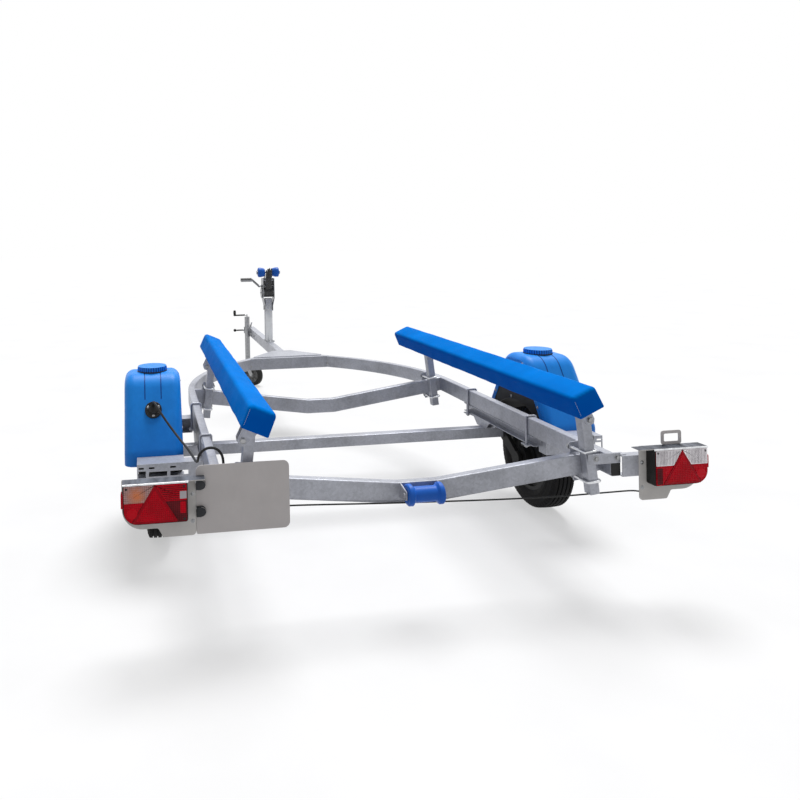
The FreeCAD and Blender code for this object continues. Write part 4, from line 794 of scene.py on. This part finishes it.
def lamp_lens(side):
    """A dark backing, coloured fields, the triangle, bulls-eyes over the bulbs, and ribs."""
    glass = Shape()
    lamp_slab(glass, side, lamp_outline(3.5, 6), 2.2, 5.5, DARK)
    fields = lens_fields(side)
    for outline, finish in fields:
        lamp_slab(glass, side, outline, 1, 3.5, finish)
    lamp_slab(glass, side, rounded([(110, 136), (30, 6.5), (190, 6.5)], 4), 0.2, 4, TRIANGLE)
    lamp_slab(glass, side, rounded([(110, 120), (44, 14), (176, 14)], 3), 0, 1.5, RED)
    # The bull's-eye over the bulb is a raised dome, and its brighter red is a painted reflection.
    glass.lathe(lamp_point(side, 32, 42, 1.2), -Y,
                [(0, 18.5), (0.4, 18), (0.8, 13), (1.1, 7), (1.1, 0.1)], 28, PAINTED_REFLECTION)
    indicator = fields[0][1]
    for ring in (6, 10.5, 15):
        profile = [(0, ring + 1.2), (0.8, ring + 0.6), (0.8, ring - 0.6), (0, ring - 1.2)]
        glass.lathe(lamp_point(side, 46, 106, 1.2), -Y, profile, 28, indicator)
    if side < 0:
        lamp_slab(glass, side, rounded(box(196, 84, 219, 110), 1.5), 0.4, 3, CLEAR_RIB)
        for row in range(8):
            v = 82 + row * 6.4
            left, right = 151 - (v - 78) * 0.62, 194 if v < 112 else 216
            lamp_slab(glass, side, [(left, v), (left, v + 2), (right, v + 2), (right, v)], 0.5, 2.5, DARK)
        lamp_slab(glass, side, rounded(box(197, 34, 216, 74), 3), 0.5, 3, RED)
    else:
        for step in range(34):
            u = 217 - step * 6.2
            if 96 < u < 124:
                continue
            low = 80 if u > 148 or u < 72 else 136 - abs(u - 110) * 1.45
            lamp_slab(glass, side, [(u, low), (u - 2.6, low), (u - 2.6, 134), (u, 134)], 0.4, 2.4, CLEAR_RIB)
        lamp_slab(glass, side, rounded(box(194, 8, 217, 70), 3), 0.5, 3, DARK)
    make_piece("lamp_lens_" + HAND[side], glass, LENS_FINISHES, bevel=0.0006)


def tail_lamp(side):
    """Black housing, a lens with its screws, a side lens, and a bright strip along the hood's edge above, a
    painted highlight.
    """
    hand = HAND[side]
    housing = Shape()
    lamp_slab(housing, side, lamp_outline(0, 8), 12, 50)
    lamp_slab(housing, side, lamp_outline(1.5, 7), 5, 12.5)
    make_piece("lamp_housing_" + hand, housing, "black_plastic", replaces=("tail_lamp_" + hand,),
               bevel=0.0014)
    lamp_lens(side)
    trim = Shape()
    screw = [(0, 4.2), (0.8, 4.2), (1.4, 3.2), (1.4, 2.2), (0.6, 1.8), (0.6, 0.1)]
    for u, v in ((13, 127), (211, 127), (211, 14), (60, 12)):
        trim.lathe(lamp_point(side, u, v, 1.6), -Y, screw, 16)
    make_piece("lamp_screws_" + hand, trim, "black_plastic")
    side_lens = Shape()
    outline = rounded(box(7, 58, 42, 108), 4)
    side_lens.prism([spot(side * 1108, p[0], LAMP_LOW + p[1]) for p in outline], X * (side * 8 * MM))
    make_piece("lamp_side_lens_" + hand, side_lens, "lamp_red", bevel=0.001)
    # A bright metal strip along the hood's edge: a painted highlight where the edge catches the light.
    highlight_strip = Shape()
    highlight_strip.slab(box(884, 573.2, 1109.5, 576.8), 6.2, -3.2, side=side)
    highlight_strip.slab(box(884, 570.5, 1109.5, 576.4), 3.2, -1.4, side=side)
    make_piece("hood_highlight_strip_" + hand, highlight_strip, "bright_bolts", bevel=0.0005)


def plate_lights():
    """Two small lamps that light the number: a smoked hood, flat on one side, and a rib on its face."""
    hood = Shape()
    window = Shape()
    for height in (547, 452):
        profile = [(0, 18.2), (4.5, 18), (12, 17.6), (14.6, 16), (15, 13), (15, 0.1)]
        hood.lathe(spot(-838, 50, height), -Y, profile, 40)
        half = [(-855.4, height - 17), (-838, height - 17.8), (-838, height + 17.8), (-855.4, height + 17)]
        hood.slab(half, 35.4, 14.2)
        window.slab(box(-838, height - 9, -825, height + 9), 34.4, 3)
    make_piece("plate_light_hoods", hood, "smoked", bevel=0.0008)
    make_piece("plate_light_windows", window, "smoked", bevel=0.0006)


# Bolts, nuts and screws


POST_PLACES = {-1: 675, 1: 688}
POST_SIDE, BEAM_HIGH, BEAM_FLAT_HALF = 40, 80, 80
BEAMS = {"rear": (131, 470), "front": (1600, 445)}  # each beam's rear face, and the top of its low middle


def beam_line(place, low_top):
    slope = (RAIL_TOP - low_top) / (RAIL_INNER - BEAM_FLAT_HALF)
    return low_top - BEAM_HIGH / 2 + (place - BEAM_FLAT_HALF) * slope, atan(slope)


def post_fasteners(side):
    """Nuts on the U-bolts' threaded legs, the bolt through the saddle's ears, and bright U-bolt bars."""
    rise, reach, bend = 0.059, 0.0265, 0.01
    for beam, (back, low_top) in BEAMS.items():
        shape = Shape()
        line_z, slope = beam_line(POST_PLACES[side], low_top)
        across, up = leaning_axes(side, slope)
        foot = spot(side * POST_PLACES[side], back - POST_SIDE / 2, line_z)
        for way in (-1, 1):
            for leg in (-1, 1):
                place = foot + up * (way * rise) + across * (leg * reach) + Y * 0.065
                shape.nut(place, Y, 17.6, 12, 12.5)
                shape.thread(place + Y * 0.013, Y, 4.5)
        along, out = leaning_axes(side)
        low = Vector((side * BUNK_MIDDLE, 0, BUNK_HEIGHT)) - out * (BUNK_THICK / 2 + 0.0053)
        lean = BUNK_TILT + radians(6.5)
        bolt = low - out * 0.048 + along * (sin(lean) * 0.024)
        bolt.y = foot.y
        shape.head(bolt - Y * 0.025, -Y, 18, 7.2)
        shape.nut(bolt + Y * 0.025, Y, 18, 7.2)
        make_piece(beam + "_post_nuts_" + HAND[side], shape, "zinc_plated", angle=30)

        bars = Shape()
        straight = reach - bend
        turns = [(bend * cos(t), bend * sin(t)) for t in (pi / 12 * k for k in range(7))]
        for way in (-1, 1):
            middle = foot + up * (way * rise) - Y * 0.025
            path = [middle - across * reach + Y * 0.088]
            path += [middle - across * (straight + c) + Y * (bend - s) for c, s in turns]
            path += [middle + across * (straight + s) + Y * (bend - c) for c, s in turns]
            path += [middle + across * reach + Y * 0.088]
            bars.tube(path, 5.3, 16)
        make_piece(beam + "_post_u_bolts_" + HAND[side], bars, "bright_bolts")


def carrier_fasteners(side):
    shape = Shape()
    for place in (649, 1236):
        for leg in (-1, 1):
            under = spot(side * RAIL_MIDDLE + leg * 25.3, place, 412)
            shape.nut(under, -Z, 17.6, 6.6, 0)
            shape.thread(under - Z * 0.008, -Z, 4.2)
    make_piece("carrier_nuts_" + HAND[side], shape, "zinc_plated", angle=30)


def wheel_nuts(side):
    """Four wheel nuts with conical seats, their studs' ends, and the valve."""
    body = "wheel_" + HAND[side]
    shape = Shape()
    for step in range(4):
        angle = 2 * pi * (step + 0.5) / 4
        centre = spot(side * 940, WHEEL_AHEAD + 50 * sin(angle), TYRE_RADIUS + 50 * cos(angle))
        shape.lathe(centre, X * side, [(0, 10), (2.2, 11.2), (3, 11.2)], 24)
        shape.nut(centre, X * side, 17.8, 11.8, 0)
        shape.thread(centre + X * (side * 0.015), X * side, 2.2)
    make_piece("wheel_nuts_" + HAND[side], shape, "zinc_plated", body, angle=30)
    valve = Shape()
    tip = (X * side + Z * -0.35).normalized()
    valve.lathe(spot(side * 960, WHEEL_AHEAD, TYRE_RADIUS + 121), tip,
                [(0, 6.8), (6, 6.2), (10, 4.2), (22, 4), (22, 4.6), (30, 4.6), (31, 3.6), (31, 0.1)], 18)
    make_piece("tyre_valve_" + HAND[side], valve, "black_rubber", body)


def frame_fasteners():
    """Bolts on the lamp brackets, the lamp plates, the cross tube, the winch's plates and the coupling."""
    shape = Shape()
    for side in (-1, 1):
        for place in (687, 776):
            shape.head(spot(side * place, 64, 534), -Y, 13, 5)
        shape.head(spot(side * 287, 2500, 490), -Y, 17, 6)
        for height in (514, 418):
            shape.pan_head(spot(side * 868, 50, height), -Y, 5.2)
        for height in (822, 838):
            shape.head(spot(side * 34, 3330, height), X * side, 13, 4)
    for place in (-31.2, 31.2):
        for ahead in (3282, 3378):
            shape.head(spot(place, ahead, 547), Z, 13, 4.5)
    for ahead in (3950, 4080):
        shape.head(spot(30, ahead, 502), X, 17, 6)
        shape.nut(spot(-30, ahead, 502), -X, 17, 8)
    make_piece("frame_bolts", shape, "zinc_plated", angle=30)


def tie_eye():
    """Ring bolt for a strap, on the right rail's top."""
    eye = Shape()
    centre = spot(781, 230, 562)
    ring, bar = 12.5 * MM, 4.2 * MM
    eye.rings([[centre + way * ring + turn * bar for turn in circle(way, Y, 10)] for way in circle(X, Z, 28)],
              closed=True)
    eye.lathe(spot(781, 230, RAIL_TOP), Z, [(0, 11), (3, 11), (3.6, 6), (9, 5.2), (10, 0.1)], 24)
    make_piece("tie_eye", eye, "zinc_plated")


# Mudguards


# Sizes of the black lining inside the mudguards, which is partly painted shade.
OUTLET_HEIGHT, LINER_LOW, LINER_SHEET_LOW, LINER_ARCH, LINER_STEPS = 640, 440, 424, 297, 48


def outlet_fittings(side):
    """Black ring with ten spokes and three bright screws on the tank's outlet."""
    slant = Vector((0, GUARD_HALF - GUARD_TOP_HALF, GUARD_TOP - GUARD_KNEE))
    up = slant.normalized()
    out = Vector((0, -up.z, up.y))
    share = (OUTLET_HEIGHT - GUARD_KNEE) / slant.z
    place = spot(side * GUARD_MIDDLE, WHEEL_AHEAD - GUARD_HALF + slant.y * share, OUTLET_HEIGHT)
    ring = Shape()
    ring.lathe(place + out * 0.0088, out,
               [(0, 37.2), (1.2, 36.8), (2.6, 35), (2.6, 32.2), (0.8, 31.2), (0.4, 22.2), (3.4, 21.2),
                (4.6, 19.4), (4.6, 15), (4, 0.1)], 48)
    for way in circle(X, up, 10):
        ring.tube([place + out * 0.01 + way * 0.02, place + out * 0.01 + way * 0.0318], 1.4, 8)
    make_piece("outlet_ring_" + HAND[side], ring, "black_plastic")
    screws = Shape()
    for angle in (150, 30, 270):
        way = X * cos(radians(angle)) + up * sin(radians(angle))
        screws.pan_head(place + out * 0.0095 + way * 0.0285, out, 4.4)
    make_piece("outlet_screws_" + HAND[side], screws, "zinc_plated")


def guard_line(inset, low):
    """The mudguard's outline seen from the side, drawn in by a distance: (ahead, up) pairs."""
    lean = atan2(GUARD_HALF - GUARD_TOP_HALF, GUARD_TOP - GUARD_KNEE)
    foot, knee = GUARD_HALF - inset, GUARD_KNEE - inset * tan(lean / 2)
    shoulder, top = GUARD_TOP_HALF - inset * tan((pi / 2 - lean) / 2), GUARD_TOP - inset
    corners = [(-foot, low), (-foot, knee), (-shoulder, top), (shoulder, top), (foot, knee), (foot, low)]
    return rounded(corners, [0, 60 - inset, 105 - inset, 105 - inset, 60 - inset, 0], 8)


def even_points(line, count):
    """Points spaced evenly along an open line."""
    reach = [0]
    for a, b in zip(line, line[1:]):
        reach.append(reach[-1] + (b - a).length)
    points = []
    at = 0
    for step in range(count + 1):
        goal = reach[-1] * step / count
        while at < len(line) - 2 and reach[at + 1] < goal:
            at += 1
        span = max(reach[at + 1] - reach[at], 1e-9)
        points.append(line[at].lerp(line[at + 1], (goal - reach[at]) / span))
    return points


def guard_band(shape, side, far_line, near_line, inner, outer):
    """A flat band between two lines seen from the side, from one distance out to another."""
    rings = []
    for far, near in zip(far_line, near_line):
        corners = [(inner, far), (inner, near), (outer, near), (outer, far)]
        rings.append([spot(side * x, WHEEL_AHEAD + p[0], p[1]) for x, p in corners])
    shape.rings(rings)


def guard_shade_lining(side):
    """Black lining of the mudguard, partly painted shade of its dark hollow, with its screws, a blue rim, and
    black rubber strips that close the stays, painted shade that keeps their slots dark.
    """
    hand = HAND[side]
    shade_lining = Shape()
    # Black sheets under the mudguard's shell and along its inner side: partly its black lining, partly
    # painted shade of its dark hollow.
    sheet = guard_line(19, LINER_SHEET_LOW) + guard_line(21, LINER_SHEET_LOW)[::-1]
    shade_lining.rings([[spot(side * x, WHEEL_AHEAD + a, z) for a, z in sheet] for x in (886, 1098)])
    start = asin((LINER_LOW - TYRE_RADIUS) / LINER_ARCH)
    angles = [start + (pi - 2 * start) * k / LINER_STEPS for k in range(LINER_STEPS + 1)]
    arch = [(-cos(a) * LINER_ARCH, sin(a) * LINER_ARCH + TYRE_RADIUS) for a in angles]
    guard_band(shade_lining, side, even_points(guard_line(25, LINER_LOW), LINER_STEPS), arch, 869, 871)
    make_piece("guard_shade_lining_" + hand, shade_lining, "black_plastic")
    rim = Shape()
    far, near = (even_points(guard_line(inset, LINER_LOW), LINER_STEPS) for inset in (24.6, 50))
    guard_band(rim, side, far, near, 866.4, 868.8)
    make_piece("guard_rim_" + hand, rim, "blue_plastic")
    # Black strips closing the stays' channels so that their slots look dark: painted shade.
    shade_flaps = Shape()
    for near in (WHEEL_AHEAD - GUARD_HALF - 8, WHEEL_AHEAD + GUARD_HALF + 5):
        shade_flaps.slab(rounded(box(874, 391, 1066, 458), 5), near, 3, side=side)
    make_piece("channel_shade_flaps_" + hand, shade_flaps, "black_rubber")
    screws = Shape()
    for x, ahead, height in ((869, 46, 558), (866.4, -200, 556), (866.4, 200, 556), (866.4, -70, 746)):
        screws.pan_head(spot(side * x, WHEEL_AHEAD + ahead, height), X * -side, 5)
    make_piece("liner_screws_" + hand, screws, "zinc_plated")


def cap_shade_ring(side):
    """Dark ring under the screw cap: painted shade of the gap beneath it."""
    shade_ring = Shape()
    shade_ring.lathe(spot(side * GUARD_MIDDLE, WHEEL_AHEAD, GUARD_TOP), Z,
               [(-2, 66), (-2, 71.2), (2, 71.2), (3.4, 70), (3.4, 66)], 56, closed=True)
    make_piece("cap_shade_ring_" + HAND[side], shade_ring, "black_rubber")


# Rail ends, handles and straps


def rail_plug(side):
    """Black plastic plug pushed into the rail's rear end, with a flange behind it."""
    plug = Shape()
    for corners, radii, ahead, deep in (((-16.5, -36.5, 16.5, 36.5), 4, 77, 4),
                                        ((-13, -33, 13, 33), 3, 79, 12),
                                        ((-19, -38, 19, 10), [5, 5, 1, 1], 63.6, 3.2)):
        plug.slab(rounded(box(*corners), radii, 4), ahead, deep, middle=(side * RAIL_MIDDLE, RAIL_HEIGHT))
    make_piece("rail_plug_" + HAND[side], plug, "black_plastic", bevel=0.0008)


def hand_grips():
    """A grey grip on the winch's crank, and black knobs and sleeves on the jockey stand's crank and clamp."""
    grip = Shape()
    long, wide = 90, 13.7
    profile = [(-0.5, 9), (0.5, wide * 0.94), (4, wide)]
    for reach in (10 + step * 8.5 for step in range(9)):
        profile += [(reach, wide), (reach + 1.5, wide * 0.94), (reach + 3, wide * 0.94), (reach + 4.5, wide)]
    profile += [(long, wide), (long + 1.6, wide * 0.8), (long + 1.6, 0.1)]
    grip.lathe(spot(-154, 3222, 1074), -X, profile, 28)
    make_piece("winch_grip", grip, "grip_rubber", "winch_crank")
    knob = Shape()
    knob.lathe(spot(-180, JOCKEY_AHEAD, 668), Z,
               [(0, 8), (1, 11.2), (12, 11.6), (30, 13.2), (46, 12.6), (54.5, 9), (56, 0.1)], 28)
    knob.lathe(spot(-80, JOCKEY_AHEAD, 675), -X, [(0, 5.5), (0.8, 7.2), (88, 7.2), (88.8, 5.5)], 24)
    make_piece("jockey_crank_knob", knob, "black_plastic", "jockey_outer")
    ball = Shape()
    profile = [(-15, 6.2), (-12.8, 8)]
    profile += [(-14.2 * cos(a), 14.2 * sin(a)) for a in (pi * k / 14 for k in range(4, 14))]
    ball.lathe(spot(-180.5, JOCKEY_AHEAD, 530), -X, profile + [(14.2, 0.1)], 28)
    ball.lathe(spot(-98, JOCKEY_AHEAD, 530), -X, [(0, 5.5), (0.8, 6.8), (64, 6.8), (64.8, 5.5)], 24)
    make_piece("clamp_knob", ball, "black_plastic")


def strap_loops():
    """The strap's spare length, folded into loops between the bow rollers."""
    loops = Shape()
    low, half = 1090, 2.6
    bow = [(cos(a), sin(a)) for a in (pi * k / 8 for k in range(9))]
    for x, y, top, lean in ((-19, 3258, 1146, -2), (-11, 3250, 1158, 1), (-3, 3257, 1154, -1),
                            (5, 3251, 1163, -1), (13, 3247, 1152, 2), (20, 3256, 1160, 1)):
        path = [spot(x - half * c + lean, y - 3 * h, top - 6 + 5 * h) for c, h in bow]
        loops.tube([spot(x - half, y, low)] + path + [spot(x + half, y, low)], 3, 8)
    make_piece("strap_loops", loops, "strap_web")


# Jockey wheel


def castor():
    """Solid rubber tyre with two grooves on a ribbed grey wheel."""
    turn = radians(45)
    hub = spot(-60, JOCKEY_AHEAD, 100) + Vector((sin(turn), -cos(turn), 0)) * 0.062
    axle = Vector((cos(turn), sin(turn), 0))
    tread = [(-25.5, 69), (-25.8, 85), (-23.5, 93.5), (-17.5, 99.5), (-12, 100), (-10.5, 97.5), (-8, 97.5),
             (-6.5, 100)]
    rubber = Shape()
    rubber.lathe(hub, axle, mirrored(tread) + [(25.5, 67.5), (-25.5, 67.5)], 72, closed=True)
    make_piece("castor_tyre", rubber, "black_rubber", "jockey_wheel", replaces=("jockey_wheel",))
    core = Shape()
    profile = [(-25.2, 7.8), (-25.8, 20), (-24.6, 22.5), (-12, 24), (-10, 27), (-10, 59), (-12, 62.5),
               (-23.5, 64.5), (-25, 68.5)]
    core.lathe(hub, axle, mirrored(profile), 48, closed=True)
    first, second, along = own_frame(axle)
    for way in circle(first, second, 8):
        square = along.cross(way) * 0.002
        for face in (-1, 1):
            root, tip = (hub + way * reach + along * (face * 0.0095) for reach in (0.0225, 0.064))
            core.prism([root + square, root - square, tip - square, tip + square], along * (face * 0.011))
    make_piece("castor_core", core, "castor_grey", "jockey_wheel", bevel=0.0006)


# Build


def dress_nodes():
    for node in nodes.values():
        for slot in node.material_slots:
            name = slot.material.name.split(".")[0] if slot.material else ""
            if node.name.startswith("lamp_plate"):
                name = "lamp_plate"
            elif node.name == "winch_post":
                name = "pale_post"
            if name in finishes:
                slot.material = finishes[name]


set_camera()
set_light()
set_floor()
finishes = make_finishes()
dress_nodes()
lay_cord("lamp_lead", LAMP_CABLE, 0.006, "lamp_cable")
lay_cord("rinse_hose", TANK_HOSE, 0.01, "tank_hose")
for side in HAND:
    for build in (bunk, tyre, tail_lamp, post_fasteners, carrier_fasteners, wheel_nuts, outlet_fittings,
                  guard_shade_lining, cap_shade_ring, rail_plug):
        build(side)
for build in (frame_fasteners, tie_eye, hand_grips, strap_loops, plate_lights, castor):
    build()
